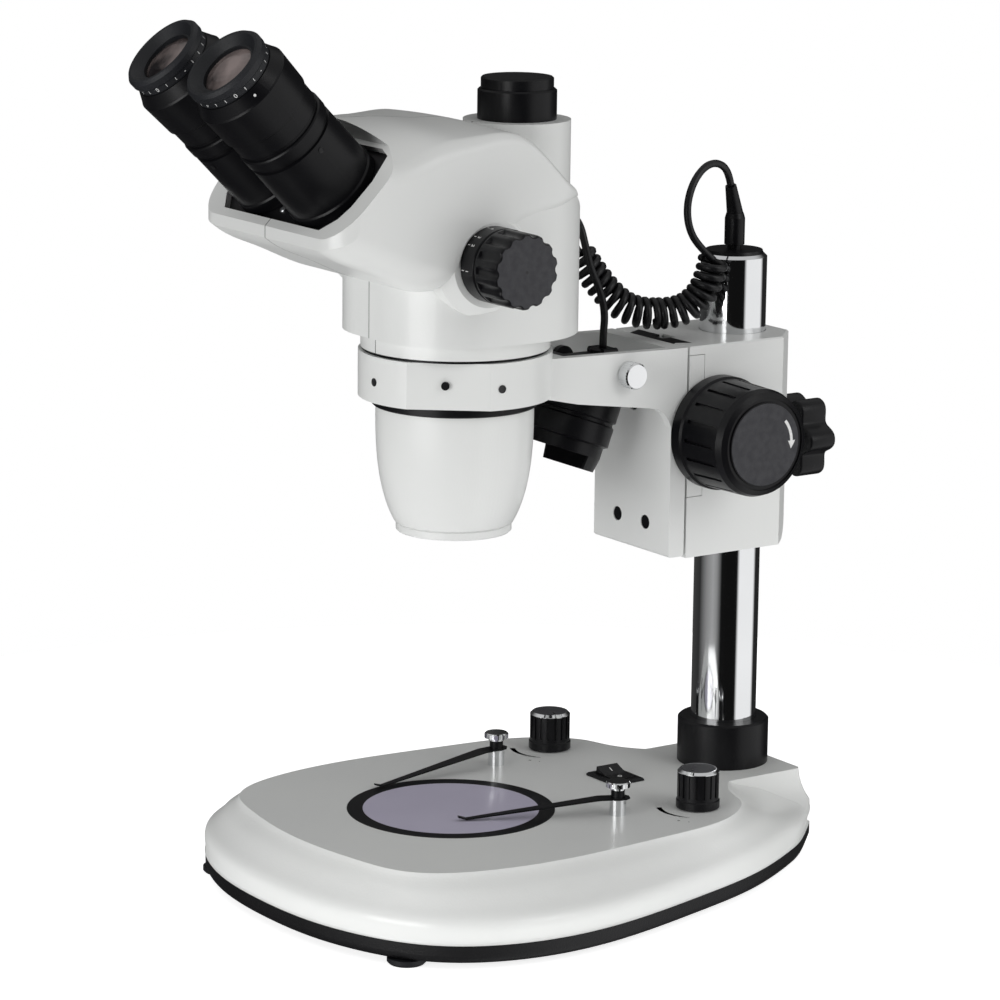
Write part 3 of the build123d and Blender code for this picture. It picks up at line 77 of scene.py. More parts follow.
def makeCamera(settings):
    heading, dip, roll = (radians(settings[key]) for key in ("heading", "dip", "roll"))
    forward = Vector((-sin(heading) * cos(dip), cos(heading) * cos(dip), -sin(dip)))
    right = Vector((cos(heading), sin(heading), 0))
    up = right.cross(forward)
    rolledRight = cos(roll) * right + sin(roll) * up
    rolledUp = cos(roll) * up - sin(roll) * right
    data = bpy.data.cameras.new("camera")
    data.lens = settings["lens"]
    data.sensor_width = settings["sensor"]
    data.clip_start = settings["nearest"]
    data.clip_end = settings["farthest"]
    camera = bpy.data.objects.new("camera", data)
    camera.matrix_world = Matrix((rolledRight, rolledUp, -forward)).transposed().to_4x4()
    camera.location = Vector(settings["place"]) + Vector((0, axisY, 0))
    bpy.context.collection.objects.link(camera)
    bpy.context.scene.camera = camera


makeCamera(cameraSettings)
bpy.context.scene.view_settings.view_transform = "Standard"
print("camera placed")


# Helpers for meshes and places
weldDistance = 1e-6
latheWeldDistance = 1e-7


def addObject(name, data):
    piece = bpy.data.objects.new(name, data)
    bpy.context.collection.objects.link(piece)
    return piece


def meshObject(name, bm, smooth=True):
    bmesh.ops.remove_doubles(bm, verts=bm.verts, dist=weldDistance)
    bmesh.ops.recalc_face_normals(bm, faces=bm.faces)
    data = bpy.data.meshes.new(name)
    bm.to_mesh(data)
    bm.free()
    for polygon in data.polygons:
        polygon.use_smooth = smooth
    return addObject(name, data)


def frameMatrix(origin, along, across):
    # Z runs along, X as near to across as it can
    along = Vector(along).normalized()
    side = Vector(across)
    side = (side - along * side.dot(along)).normalized()
    matrix = Matrix((side, along.cross(side), along)).transposed().to_4x4()
    matrix.translation = Vector(origin)
    return matrix


def jointLine(name):
    joint = next(entry for entry in frame["joints"] if entry["name"] == name)
    return Vector(joint["pos_m"]), Vector(joint["axis"]).normalized()


def optical(x, y, z):
    # A place given in millimetres from the optical axis
    return Vector((x * mm, y * mm + axisY, z * mm))


def lathe(profile, steps=64):
    # Turns (radius, height) pairs in millimetres about Z; points on the axis close the ends
    bm = bmesh.new()
    ring = [bm.verts.new((radius * mm, 0, height * mm)) for radius, height in profile]
    edges = [bm.edges.new(pair) for pair in zip(ring, ring[1:])]
    bmesh.ops.spin(bm, geom=ring + edges, cent=(0, 0, 0), axis=(0, 0, 1), angle=2 * pi, steps=steps,
                   use_merge=True)
    bmesh.ops.remove_doubles(bm, verts=bm.verts, dist=latheWeldDistance)
    return bm


def moveInto(bm, other):
    # The geometry of the other one joins bm, and the other one is freed
    mesh = bpy.data.meshes.new("moved")
    other.to_mesh(mesh)
    other.free()
    bm.from_mesh(mesh)
    bpy.data.meshes.remove(mesh)


def sharpen(piece, angle=35):
    # Keeps edges sharp where the shape turns
    limit = radians(angle)
    bm = bmesh.new()
    bm.from_mesh(piece.data)
    for edge in bm.edges:
        edge.smooth = len(edge.link_faces) == 2 and edge.calc_face_angle(0) < limit
    bm.to_mesh(piece.data)
    bm.free()


surfaces = {}


def surfaceHit(node, start, heading):
    # Where a straight line from start meets a CAD node, with the surface's normal
    if node not in surfaces:
        bm = bmesh.new()
        bm.from_mesh(nodes[node].data)
        surfaces[node] = BVHTree.FromBMesh(bm)
        bm.free()
    place, normal, _, _ = surfaces[node].ray_cast(start, heading)
    return place, normal


# Lamp lead: the route's points repeat those of the solids
leadSettings = {
    "wire": 3.6,
    "coil": 15.6,
    "turnsRear": 9,
    "turnsFront": 11,
    "stepsPerTurn": 22,
    "coilSections": 10,
    "plainSteps": 60,
    "plainSections": 14,
    "splineSteps": 12,
}


def shiftedPoints(points):
    return [optical(*point) for point in points]


def aheadOf(point, towards, distance):
    return tuple(Vector(point) + Vector(towards).normalized() * distance)


reliefStart = (0, 161.3, 311.0)
reliefLean = (2.0, -4.5, 14.0)
reliefEnd = aheadOf(reliefStart, reliefLean, 15.0)
coilStart = (16.0, 136.6, 292.6)
coilMiddle = (5.0, 113.0, 267.4)
coilMiddleHeading = (-0.38, -0.92, 0.0)
coilEnd = (-14.0, 80.0, 296.0)
coilEndHeading = (-0.31, -0.43, 0.85)
clampTop = (3.0, 82.0, 253.5)
apart = 0.1

loopRoute = [reliefEnd, aheadOf(reliefEnd, reliefLean, 8), (5.4, 146.0, 337.6), (7.5, 136.6, 336.6),
             (9.5, 128.2, 329.4), (11.2, 123.6, 319.0), (12.6, 124.0, 308.4), (14.0, 128.8, 299.8), coilStart]
coilRearRoute = [coilStart, (15.4, 134.8, 282.6), (12.6, 129.6, 273.0),
                 aheadOf(coilMiddle, coilMiddleHeading, -9), coilMiddle]
coilFrontRoute = [aheadOf(coilMiddle, coilMiddleHeading, apart),
                  aheadOf(coilMiddle, coilMiddleHeading, 9), (-3.6, 94.6, 272.6),
                  aheadOf(coilEnd, coilEndHeading, -12), coilEnd]
tailRoute = [aheadOf(coilEnd, coilEndHeading, apart), aheadOf(coilEnd, coilEndHeading, 10),
             (-15.0, 71.5, 313.5), (-7.5, 69.5, 317.5), (0.5, 69.5, 313.0), (3.5, 70.5, 303.0),
             (3.2, 74.0, 292.0), (3.0, 80.0, 281.0), (3.0, 83.0, 269.5), (3.0, 82.0, 259.5), clampTop]


def routeCurve(name, points):
    data = bpy.data.curves.new(name, "CURVE")
    data.dimensions = "3D"
    spline = data.splines.new("NURBS")
    spline.points.add(len(points) - 1)
    for place, point in zip(spline.points, points):
        place.co = (*point, 1)
    spline.order_u = 3
    spline.use_endpoint_u = True
    spline.resolution_u = leadSettings["splineSteps"]
    return addObject(name, data)


def centreline(points):
    # Points of the smooth line that a route's spline follows
    guide = routeCurve("guide", shiftedPoints(points))
    mesh = bpy.data.meshes.new_from_object(guide)
    line = [vertex.co.copy() for vertex in mesh.vertices]
    bpy.data.objects.remove(guide)
    bpy.data.meshes.remove(mesh)
    return line


def evenly(line, count):
    lengths = [0.0]
    for before, after in zip(line, line[1:]):
        lengths.append(lengths[-1] + (after - before).length)
    out = []
    index = 0
    for step in range(count + 1):
        target = lengths[-1] * step / count
        while index < len(line) - 2 and lengths[index + 1] < target:
            index += 1
        span = lengths[index + 1] - lengths[index]
        share = (target - lengths[index]) / span if span else 0
        out.append(line[index].lerp(line[index + 1], share))
    return out


def helixAround(line, turns, radius):
    # A helix wound round a line, with a frame that doesn't twist
    count = turns * leadSettings["stepsPerTurn"]
    spots = evenly(line, count)
    side = (spots[1] - spots[0]).orthogonal().normalized()
    out = []
    for index, spot in enumerate(spots):
        ahead = spots[min(index + 1, count)] - spots[max(index - 1, 0)]
        ahead.normalize()
        side = (side - ahead * side.dot(ahead)).normalized()
        across = ahead.cross(side)
        angle = 2 * pi * turns * index / count
        out.append(spot + radius * (side * cos(angle) + across * sin(angle)))
    return out


def tubeMesh(name, line, radius, sections):
    # One ring of points at each point of the line, bridged to the next
    bm = bmesh.new()
    side = (line[1] - line[0]).orthogonal().normalized()
    rings = []
    for index, spot in enumerate(line):
        ahead = line[min(index + 1, len(line) - 1)] - line[max(index - 1, 0)]
        ahead.normalize()
        side = (side - ahead * side.dot(ahead)).normalized()
        made = bmesh.ops.create_circle(bm, cap_ends=False, segments=sections, radius=radius,
                                       matrix=frameMatrix(spot, ahead, side))
        rings.append(made["verts"])
    for first, second in zip(rings, rings[1:]):
        edges = [edge for vert in first for edge in vert.link_edges if edge.other_vert(vert) in first]
        edges += [edge for vert in second for edge in vert.link_edges if edge.other_vert(vert) in second]
        bmesh.ops.bridge_loops(bm, edges=list(set(edges)))
    for ring in (rings[0], rings[-1]):
        bmesh.ops.contextual_create(bm, geom=ring)
    return meshObject(name, bm)


def makeLead(settings):
    wire = settings["wire"] / 2 * mm
    wind = (settings["coil"] / 2 - settings["wire"] / 2) * mm
    plainSteps, plainSections = settings["plainSteps"], settings["plainSections"]
    loopLine = evenly(centreline(loopRoute), plainSteps)
    loop = tubeMesh("lampLeadLoop", loopLine, wire, plainSections)
    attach(loop, "stand")
    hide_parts("lead_loop")
    rearLine = helixAround(centreline(coilRearRoute), settings["turnsRear"], wind)
    rear = tubeMesh("lampLeadCoilRear", rearLine, wire, settings["coilSections"])
    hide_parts("lead_coil_rear")
    frontLine = helixAround(centreline(coilFrontRoute), settings["turnsFront"], wind)
    front = tubeMesh("lampLeadCoilFront", frontLine, wire, settings["coilSections"])
    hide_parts("lead_coil_front")
    tailLine = evenly(centreline(tailRoute), plainSteps)
    tail = tubeMesh("lampLeadTail", tailLine, wire, plainSections)
    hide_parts("lead_tail")
    for piece, line, bodyA, bodyB in ((rear, rearLine, "stand", "pillar_sleeve"),
                                      (front, frontLine, "pillar_sleeve", "block"),
                                      (tail, tailLine, "block", "holder")):
        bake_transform(piece)
    return [loop, rear, front, tail]


leadPieces = makeLead(leadSettings)
print("lamp lead made")


# Materials
coatRoughness = 0.12
grainDetail = 3.0
toneDetail = 4.0
toneSpread = (0.35, 0.65)
inkShade = 0.9


def newMaterial(name, base, roughness, metallic=0.0, coat=0.0, specular=0.5):
    material = bpy.data.materials.new(name)
    material.use_nodes = True
    shader = material.node_tree.nodes["Principled BSDF"]
    shader.inputs["Base Color"].default_value = (*base, 1)
    shader.inputs["Roughness"].default_value = roughness
    shader.inputs["Metallic"].default_value = metallic
    shader.inputs["Coat Weight"].default_value = coat
    shader.inputs["Coat Roughness"].default_value = coatRoughness
    shader.inputs["Specular IOR Level"].default_value = specular
    return material


def addNode(material, kind, **values):
    node = material.node_tree.nodes.new(kind)
    for key, value in values.items():
        if key in node.inputs:
            node.inputs[key].default_value = value
        else:
            setattr(node, key, value)
    return node


def link(material, source, target):
    material.node_tree.links.new(source, target)


def addGrain(material, scale, strength, distance, stretch=(1, 1, 1)):
    # Fine bumps on the piece's own coordinates
    shader = material.node_tree.nodes["Principled BSDF"]
    place = addNode(material, "ShaderNodeTexCoord")
    mapping = addNode(material, "ShaderNodeMapping", Scale=stretch)
    noise = addNode(material, "ShaderNodeTexNoise", Scale=scale, Detail=grainDetail)
    bump = addNode(material, "ShaderNodeBump", Strength=strength, Distance=distance)
    link(material, place.outputs["Object"], mapping.inputs["Vector"])
    link(material, mapping.outputs["Vector"], noise.inputs["Vector"])
    link(material, noise.outputs["Fac"], bump.inputs["Height"])
    link(material, bump.outputs["Normal"], shader.inputs["Normal"])


def addTone(material, base, darker, scale, roughness):
    # Slow change of colour and gloss over the surface
    shader = material.node_tree.nodes["Principled BSDF"]
    place = addNode(material, "ShaderNodeTexCoord")
    noise = addNode(material, "ShaderNodeTexNoise", Scale=scale, Detail=toneDetail)
    ramp = addNode(material, "ShaderNodeValToRGB")
    for stop, colour, position in zip(ramp.color_ramp.elements, (darker, base), toneSpread):
        stop.color = (*colour, 1)
        stop.position = position
    gloss = addNode(material, "ShaderNodeMapRange")
    gloss.inputs["To Min"].default_value, gloss.inputs["To Max"].default_value = roughness
    link(material, place.outputs["Object"], noise.inputs["Vector"])
    link(material, noise.outputs["Fac"], ramp.inputs["Fac"])
    link(material, ramp.outputs["Color"], shader.inputs["Base Color"])
    link(material, noise.outputs["Fac"], gloss.inputs["Value"])
    link(material, gloss.outputs["Result"], shader.inputs["Roughness"])


def makeWhitePaint():
    paint = newMaterial("whitePaint", (0.78, 0.79, 0.78), roughness=0.34, coat=0.2)
    addTone(paint, (0.79, 0.80, 0.785), (0.765, 0.775, 0.765), scale=9.0, roughness=(0.30, 0.37))
    addGrain(paint, scale=900.0, strength=0.12, distance=0.0004)
    return paint


def makeBlackEnamel():
    enamel = newMaterial("blackEnamel", (0.008, 0.008, 0.009), roughness=0.45, specular=0.3)
    addTone(enamel, (0.009, 0.009, 0.010), (0.006, 0.006, 0.007), scale=12.0, roughness=(0.42, 0.52))
    addGrain(enamel, scale=1400.0, strength=0.35, distance=0.0006)
    return enamel


def makeBlackPlastic():
    plastic = newMaterial("blackPlastic", (0.006, 0.006, 0.007), roughness=0.34, specular=0.22)
    addTone(plastic, (0.007, 0.007, 0.008), (0.004, 0.004, 0.005), scale=25.0, roughness=(0.27, 0.36))
    addGrain(plastic, scale=1800.0, strength=0.16, distance=0.0004)
    return plastic


def makeBlackMetal():
    metal = newMaterial("blackAnodised", (0.005, 0.005, 0.006), roughness=0.32, specular=0.2)
    addTone(metal, (0.006, 0.006, 0.007), (0.004, 0.004, 0.005), scale=30.0, roughness=(0.28, 0.36))
    addGrain(metal, scale=2600.0, strength=0.08, distance=0.0003)
    return metal


def makeRubber():
    rubber = newMaterial("blackRubber", (0.014, 0.015, 0.018), roughness=0.48, specular=0.3)
    addTone(rubber, (0.017, 0.018, 0.022), (0.011, 0.012, 0.014), scale=40.0, roughness=(0.44, 0.54))
    addGrain(rubber, scale=3200.0, strength=0.3, distance=0.0004)
    return rubber


def makeChrome():
    chrome = newMaterial("chrome", (0.84, 0.85, 0.86), roughness=0.07, metallic=1.0)
    addTone(chrome, (0.86, 0.87, 0.88), (0.80, 0.81, 0.82), scale=18.0, roughness=(0.05, 0.10))
    addGrain(chrome, scale=1500.0, strength=0.02, distance=0.0002, stretch=(1, 1, 0.02))
    return chrome


def makeSteel():
    steel = newMaterial("machinedSteel", (0.52, 0.53, 0.54), roughness=0.3, metallic=1.0)
    addTone(steel, (0.55, 0.56, 0.57), (0.46, 0.47, 0.48), scale=60.0, roughness=(0.24, 0.38))
    addGrain(steel, scale=2500.0, strength=0.1, distance=0.0002, stretch=(1, 1, 0.05))
    return steel


def makeBrass():
    brass = newMaterial("turnedBrass", (0.66, 0.5, 0.22), roughness=0.28, metallic=1.0)
    addTone(brass, (0.7, 0.53, 0.24), (0.58, 0.43, 0.18), scale=50.0, roughness=(0.22, 0.36))
    addGrain(brass, scale=2500.0, strength=0.08, distance=0.0002, stretch=(1, 1, 0.05))
    return brass


def makeFrosted():
    frosted = newMaterial("frostedGlass", (0.56, 0.53, 0.66), roughness=0.30, coat=0.3)
    addTone(frosted, (0.58, 0.55, 0.68), (0.54, 0.51, 0.64), scale=14.0, roughness=(0.26, 0.34))
    addGrain(frosted, scale=4200.0, strength=0.08, distance=0.0002)
    return frosted


def makeLens():
    lens = newMaterial("lensWithPaintedReflection", (0.05, 0.03, 0.028), roughness=0.05, coat=0.2, specular=0.25)
    # Painted reflection: the tone's lighter brownish-pink colour lays reflection patches into the dark glass's own
    # colour
    addTone(lens, (0.26, 0.21, 0.20), (0.010, 0.008, 0.009), scale=48.0, roughness=(0.04, 0.08))
    return lens


def makeBoard():
    board = newMaterial("circuitBoard", (0.02, 0.16, 0.05), roughness=0.4)
    addTone(board, (0.03, 0.2, 0.07), (0.01, 0.11, 0.03), scale=120.0, roughness=(0.3, 0.5))
    addGrain(board, scale=900.0, strength=0.2, distance=0.0004)
    return board


def makeWire():
    wire = newMaterial("cableJacket", (0.006, 0.006, 0.007), roughness=0.34, specular=0.3)
    addTone(wire, (0.009, 0.009, 0.010), (0.006, 0.006, 0.007), scale=50.0, roughness=(0.30, 0.42))
    addGrain(wire, scale=2400.0, strength=0.1, distance=0.0003)
    return wire


def makePrint(name, colour):
    ink = newMaterial(name, colour, roughness=0.5)
    darker = tuple(value * inkShade for value in colour)
    addTone(ink, colour, darker, scale=400.0, roughness=(0.45, 0.6))
    addGrain(ink, scale=3000.0, strength=0.1, distance=0.0001)
    return ink


def makeSatinFace():
    # Fine-textured plastic of the knobs' end faces
    face = newMaterial("satinFace", (0.045, 0.045, 0.050), roughness=0.55, specular=0.3)
    addTone(face, (0.05, 0.05, 0.055), (0.036, 0.036, 0.041), scale=300.0, roughness=(0.5, 0.62))
    addGrain(face, scale=2200.0, strength=0.45, distance=0.0005)
    return face


materials = {
    "white_paint": makeWhitePaint(),
    "black_base": makeBlackEnamel(),
    "black_plastic": makeBlackPlastic(),
    "black_anodised": makeBlackMetal(),
    "black_rubber": makeRubber(),
    "chrome": makeChrome(),
    "steel": makeSteel(),
    "brass": makeBrass(),
    "frosted_glass": makeFrosted(),
    "lens_glass": makeLens(),
    "board": makeBoard(),
    "wire": makeWire(),
}
whiteInk = makePrint("whiteInk", (0.82, 0.82, 0.81))
blackInk = makePrint("blackInk", (0.012, 0.012, 0.013))
seamShade = makePrint("seamShade", (0.22, 0.225, 0.22))
satinFace = makeSatinFace()


def finishNodes():
    slots = {entry["node"]: entry["material_slot"] for entry in frame["record"]["subparts"]}
    for name, piece in nodes.items():
        piece.data.materials.clear()
        piece.data.materials.append(materials[slots[name]])


def finishPiece(piece, material, body=None):
    piece.data.materials.append(material)
    if body:
        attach(piece, body)


finishNodes()
for leadPiece in leadPieces:
    finishPiece(leadPiece, materials["wire"])
print("materials set")


# Printed marks, which lie on a surface and stand a hair proud of it
printHeight = 0.08 * mm


def addBar(bm, matrix, width, height, thick=printHeight):
    made = bmesh.ops.create_cube(bm, size=1)
    shape = Matrix.Diagonal((width * mm, height * mm, thick, 1))
    bmesh.ops.transform(bm, matrix=matrix @ shape, verts=made["verts"])


def addDot(bm, matrix, radius, thick=printHeight, segments=24):
    made = bmesh.ops.create_cone(bm, cap_ends=True, segments=segments, radius1=radius * mm,
                                 radius2=radius * mm, depth=thick)
    bmesh.ops.transform(bm, matrix=matrix, verts=made["verts"])


def addText(bm, matrix, words, size):
    letters = bpy.data.curves.new("letters", "FONT")
    letters.body = words
    letters.size = size * mm
    letters.align_x = "CENTER"
    letters.align_y = "CENTER"
    letters.extrude = printHeight / 2
    letters.resolution_u = 4
    holder = addObject("letters", letters)
    mesh = bpy.data.meshes.new_from_object(holder)
    mesh.transform(matrix)
    bm.from_mesh(mesh)
    bpy.data.objects.remove(holder)
    bpy.data.meshes.remove(mesh)


def roundSpot(node, line, angle, along, reach=40):
    # Frame of a mark that reads round a turned piece: angle round its axis, along it in millimetres
    origin, axis = line
    turning = frameMatrix(origin, axis, (1, 0, 0) if abs(axis.x) < 0.9 else (0, 0, 1))
    outward = turning.to_3x3() @ Vector((cos(radians(angle)), sin(radians(angle)), 0))
    middle = origin + axis * along * mm
    place, normal = surfaceHit(node, middle + outward * reach * mm, -outward)
    return frameMatrix(place, normal, axis.cross(outward))


# Scale ring, index dot and set screw of each eyepiece
ocularSettings = {
    "scaleAlong": 77.9,
    "dotAlong": 73.4,
    "dotRadius": 0.62,
    "tickLength": 1.5,
    "tickWidth": 0.28,
    "signSize": 3.0,
    "screwAlong": 31.0,
    "screwRadius": 1.35,
    "scaleStep": 16,
    "scaleRange": range(-4, 8),
    "scaleSigns": {-3: "+", 0: "0", 3: "-"},
}
ocularMarks = {
    "right": {"zero": -34, "dot": -15, "screw": 1},
    "left": {"zero": -60, "dot": -15, "screw": -79},
}


def makeOcularMarks(side, marks, settings):
    line = jointLine(f"diopter_turn_{side}")
    node = f"eyecup_{side}"
    bm = bmesh.new()
    signs = settings["scaleSigns"]
    for step in settings["scaleRange"]:
        angle = marks["zero"] + step * settings["scaleStep"]
        spot = roundSpot(node, line, angle, settings["scaleAlong"])
        if step in signs:
            addText(bm, spot, signs[step], settings["signSize"])
        else:
            addBar(bm, spot, settings["tickWidth"], settings["tickLength"])
    scale = meshObject(f"dioptreMarks{side.capitalize()}", bm, smooth=False)
    finishPiece(scale, whiteInk, f"diopter_{side}")
    bm = bmesh.new()
    spot = roundSpot(f"eyepiece_{side}", line, marks["dot"], settings["dotAlong"])
    addDot(bm, spot, settings["dotRadius"])
    dot = meshObject(f"indexDot{side.capitalize()}", bm, smooth=False)
    finishPiece(dot, whiteInk, f"ocular_{side}")
    spot = roundSpot(f"tube_{side}", line, marks["screw"], settings["screwAlong"])
    screw = makeSocketScrew(f"tubeScrew{side.capitalize()}", spot, settings["screwRadius"])
    finishPiece(screw, materials["black_base"], f"ocular_{side}")


socketSettings = {
    "height": 0.25,
    "depth": 0.2,
    "wallShare": 0.42,
    "segments": 24,
}


def makeSocketScrew(name, matrix, radius, settings=socketSettings):
    # A low disc with a shallow socket in it
    bm = bmesh.new()
    bmesh.ops.create_circle(bm, cap_ends=True, segments=settings["segments"], radius=radius * mm)
    raised = bmesh.ops.extrude_face_region(bm, geom=list(bm.faces))
    tops = [item for item in raised["geom"] if isinstance(item, bmesh.types.BMFace)]
    corners = list({vert for face in tops for vert in face.verts})
    bmesh.ops.translate(bm, vec=(0, 0, settings["height"] * mm), verts=corners)
    bmesh.ops.inset_region(bm, faces=tops, thickness=settings["wallShare"] * radius * mm,
                           depth=-settings["depth"] * mm)
    bmesh.ops.transform(bm, matrix=matrix, verts=bm.verts)
    return meshObject(name, bm, smooth=False)


for side, marks in ocularMarks.items():
    makeOcularMarks(side, marks, ocularSettings)
print("eyepiece marks made")


# Zoom knobs: a smooth scale ring and a fluted grip whose flutes run out through the end face
zoomKnobSettings = {
    "shaft": 4.0,
    "start": 52.3,
    "ringEnd": 62.2,
    "radius": 17.2,
    "end": 80.0,
    "bore": 68.5,
    "flutes": 14,
    "fluteRadius": 3.2,
    "fluteStart": 64.8,
    "stepsPerFlute": 14,
    "markAngles": (-94, -54, -38, -12, 18, 52),
    "tickAlong": 54.6,
    "numberAlong": 57.6,
    "numberSize": 2.9,
    "tickLength": 1.6,
    "tickWidth": 0.3,
    "centreRadius": 0.75,
    "fluteSink": 0.62,
    "edge": 0.4,
    # Pairs of how deep under the grip and how far past the ring, or before the end
    "groove": ((0.4, 0), (0.9, 0.1), (0.9, 0.7), (0.3, 0.9), (0, 1.3)),
    "gripRings": (64.7, 65.3, 70, 75),
    "endRound": ((0.1, 1.4), (0.45, 0.5), (1.0, 0.1), (1.5, 0)),
    "endBand": 0.2,
    "sharpAngle": 30,
}


def fluteDepth(angle, settings):
    # Radius at which a flute's wall lies in this direction
    pitch = 2 * pi / settings["flutes"]
    offset = (angle + pitch / 2) % pitch - pitch / 2
    centre = settings["radius"] + settings["fluteSink"] * settings["fluteRadius"]
    reach = settings["fluteRadius"] ** 2 - (centre * sin(offset)) ** 2
    return centre * cos(offset) - sqrt(reach) if reach > 0 else settings["radius"]


def gripMesh(settings):
    # The knob turned about Z, then drawn in where the flutes run
    radius, end, edge = settings["radius"], settings["end"], settings["edge"]
    shaft, bore, start = settings["shaft"], settings["bore"], settings["start"]
    profile = [(0, bore), (shaft, bore), (shaft, start), (radius - edge, start), (radius, start + edge),
               (radius, settings["ringEnd"] - edge)]
    profile += [(radius - deep, settings["ringEnd"] + past) for deep, past in settings["groove"]]
    profile += [(radius, along) for along in settings["gripRings"]]
    profile += [(radius - deep, end - before) for deep, before in settings["endRound"]]
    profile += [(0, end)]
    bm = lathe(profile, settings["flutes"] * settings["stepsPerFlute"])
    for vert in bm.verts:
        away = hypot(vert.co.x, vert.co.y)
        if vert.co.z < settings["fluteStart"] * mm or away < mm:
            continue
        wall = fluteDepth(atan2(vert.co.y, vert.co.x), settings) * mm
        limit = wall - (radius * mm - away)
        if limit < away:
            vert.co.x *= limit / away
            vert.co.y *= limit / away
    return bm


def makeZoomMarks(side, sign, origin, settings):
    bm = bmesh.new()
    for number, angle in enumerate(settings["markAngles"], 1):
        outward = Vector((0, sin(radians(angle)), cos(radians(angle))))
        surface = origin + outward * (settings["radius"] * mm + printHeight / 4)
        tickPlace = surface + Vector((sign * settings["tickAlong"] * mm, 0, 0))
        tickFrame = frameMatrix(tickPlace, outward, (sign, 0, 0))
        addBar(bm, tickFrame, settings["tickLength"], settings["tickWidth"])
        numberPlace = surface + Vector((sign * settings["numberAlong"] * mm, 0, 0))
        across = Vector((sign, 0, 0)).cross(outward)
        addText(bm, frameMatrix(numberPlace, outward, across), str(number), settings["numberSize"])
    scale = meshObject(f"zoomMarks{side.capitalize()}", bm, smooth=False)
    finishPiece(scale, whiteInk, "zoom")
    bm = bmesh.new()
    middle = origin + Vector((sign * settings["end"] * mm, 0, 0))
    addDot(bm, frameMatrix(middle, (sign, 0, 0), (0, 1, 0)), settings["centreRadius"])
    dot = meshObject(f"zoomCentre{side.capitalize()}", bm, smooth=False)
    finishPiece(dot, blackInk, "zoom")


def makeZoomKnob(side, settings):
    sign = 1 if side == "right" else -1
    shaftPlace, _ = jointLine("zoom_turn")
    origin = Vector((0, shaftPlace.y, shaftPlace.z))
    bm = gripMesh(settings)
    bmesh.ops.transform(bm, matrix=frameMatrix(origin, (sign, 0, 0), (0, 1, 0)), verts=bm.verts)
    knob = meshObject(f"zoomKnob{side.capitalize()}", bm)
    sharpen(knob, settings["sharpAngle"])
    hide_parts(f"zoom_knob_{side}")
    finishPiece(knob, materials["black_plastic"], "zoom")
    knob.data.materials.append(satinFace)
    for polygon in knob.data.polygons:
        if abs(polygon.center.x) > (settings["end"] - settings["endBand"]) * mm:
            polygon.material_index = 1
    makeZoomMarks(side, sign, origin, settings)


for side in ("right", "left"):
    makeZoomKnob(side, zoomKnobSettings)
print("zoom knobs made")


# Focus knobs: a satin disc in the end, with a curved arrow for the drag setting on the right
focusDiscSettings = {
    "radius": 19.6,
    "thick": 0.35,
    "sink": 0.01,
    "edge": 0.2,
    "segments": 96,
    "reach": 0.1,
    "arrowRadius": 15.4,
    "arrowWidth": 1.5,
    "arrowStart": 42,
    "arrowEnd": 2,
    "headSweep": 14.4,
    "headWidth": 4.2,
    "tipWidth": 0.001,
}


def makeFocusDisc(side, settings):
    sign = 1 if side == "right" else -1
    origin, _ = jointLine(f"focus_turn_{side}")
    outside = origin + Vector((sign * settings["reach"], 0, 0))
    face, _ = surfaceHit(f"focus_knob_{side}", outside, Vector((-sign, 0, 0)))
    place = frameMatrix(face, (sign, 0, 0), (0, 1, 0))
    radius, thick, sink, edge = (settings[key] for key in ("radius", "thick", "sink", "edge"))
    profile = [(0, sink), (radius, sink), (radius, thick - edge), (radius - edge, thick), (0, thick)]
    bm = lathe(profile, settings["segments"])
    bmesh.ops.transform(bm, matrix=place, verts=bm.verts)
    disc = meshObject(f"focusDisc{side.capitalize()}", bm)
    sharpen(disc)
    finishPiece(disc, satinFace, f"focus_{side}")
    if side == "right":
        raised = place @ Matrix.Translation((0, 0, thick * mm))
        finishPiece(makeArrow("dragArrow", raised, settings), whiteInk, f"focus_{side}")


def arcStrip(bm, radius, start, end, widthAt, steps=20):
    # A flat strip along an arc, in millimetres and degrees; its width follows a rule of the share along it
    inner = bm.verts.new((radius * mm - mm / 2, 0, 0))
    outer = bm.verts.new((radius * mm + mm / 2, 0, 0))
    edge = bm.edges.new((inner, outer))
    bmesh.ops.rotate(bm, matrix=Matrix.Rotation(radians(start), 3, "Z"), verts=[inner, outer])
    bmesh.ops.spin(bm, geom=[inner, outer, edge], cent=(0, 0, 0), axis=(0, 0, 1), angle=radians(end - start),
                   steps=steps)
    for vert in bm.verts:
        away = hypot(vert.co.x, vert.co.y)
        turned = degrees(atan2(vert.co.y, vert.co.x))
        share = min(max((turned - start) / (end - start), 0), 1)
        wanted = radius * mm + (away - radius * mm) * widthAt(share)
        vert.co.x *= wanted / away
        vert.co.y *= wanted / away


def makeArrow(name, matrix, settings):
    bm = bmesh.new()
    radius, width, end = settings["arrowRadius"], settings["arrowWidth"], settings["arrowEnd"]
    arcStrip(bm, radius, settings["arrowStart"], end, lambda share: width)
    head = bmesh.new()
    headWidth, tip = settings["headWidth"], settings["tipWidth"]
    arcStrip(head, radius, end, end - settings["headSweep"], lambda share: headWidth * (1 + tip - share))
    moveInto(bm, head)
    bmesh.ops.solidify(bm, geom=list(bm.faces), thickness=printHeight)
    bmesh.ops.transform(bm, matrix=matrix, verts=bm.verts)
    return meshObject(name, bm, smooth=False)


for side in ("right", "left"):
    makeFocusDisc(side, focusDiscSettings)
print("focus discs made")


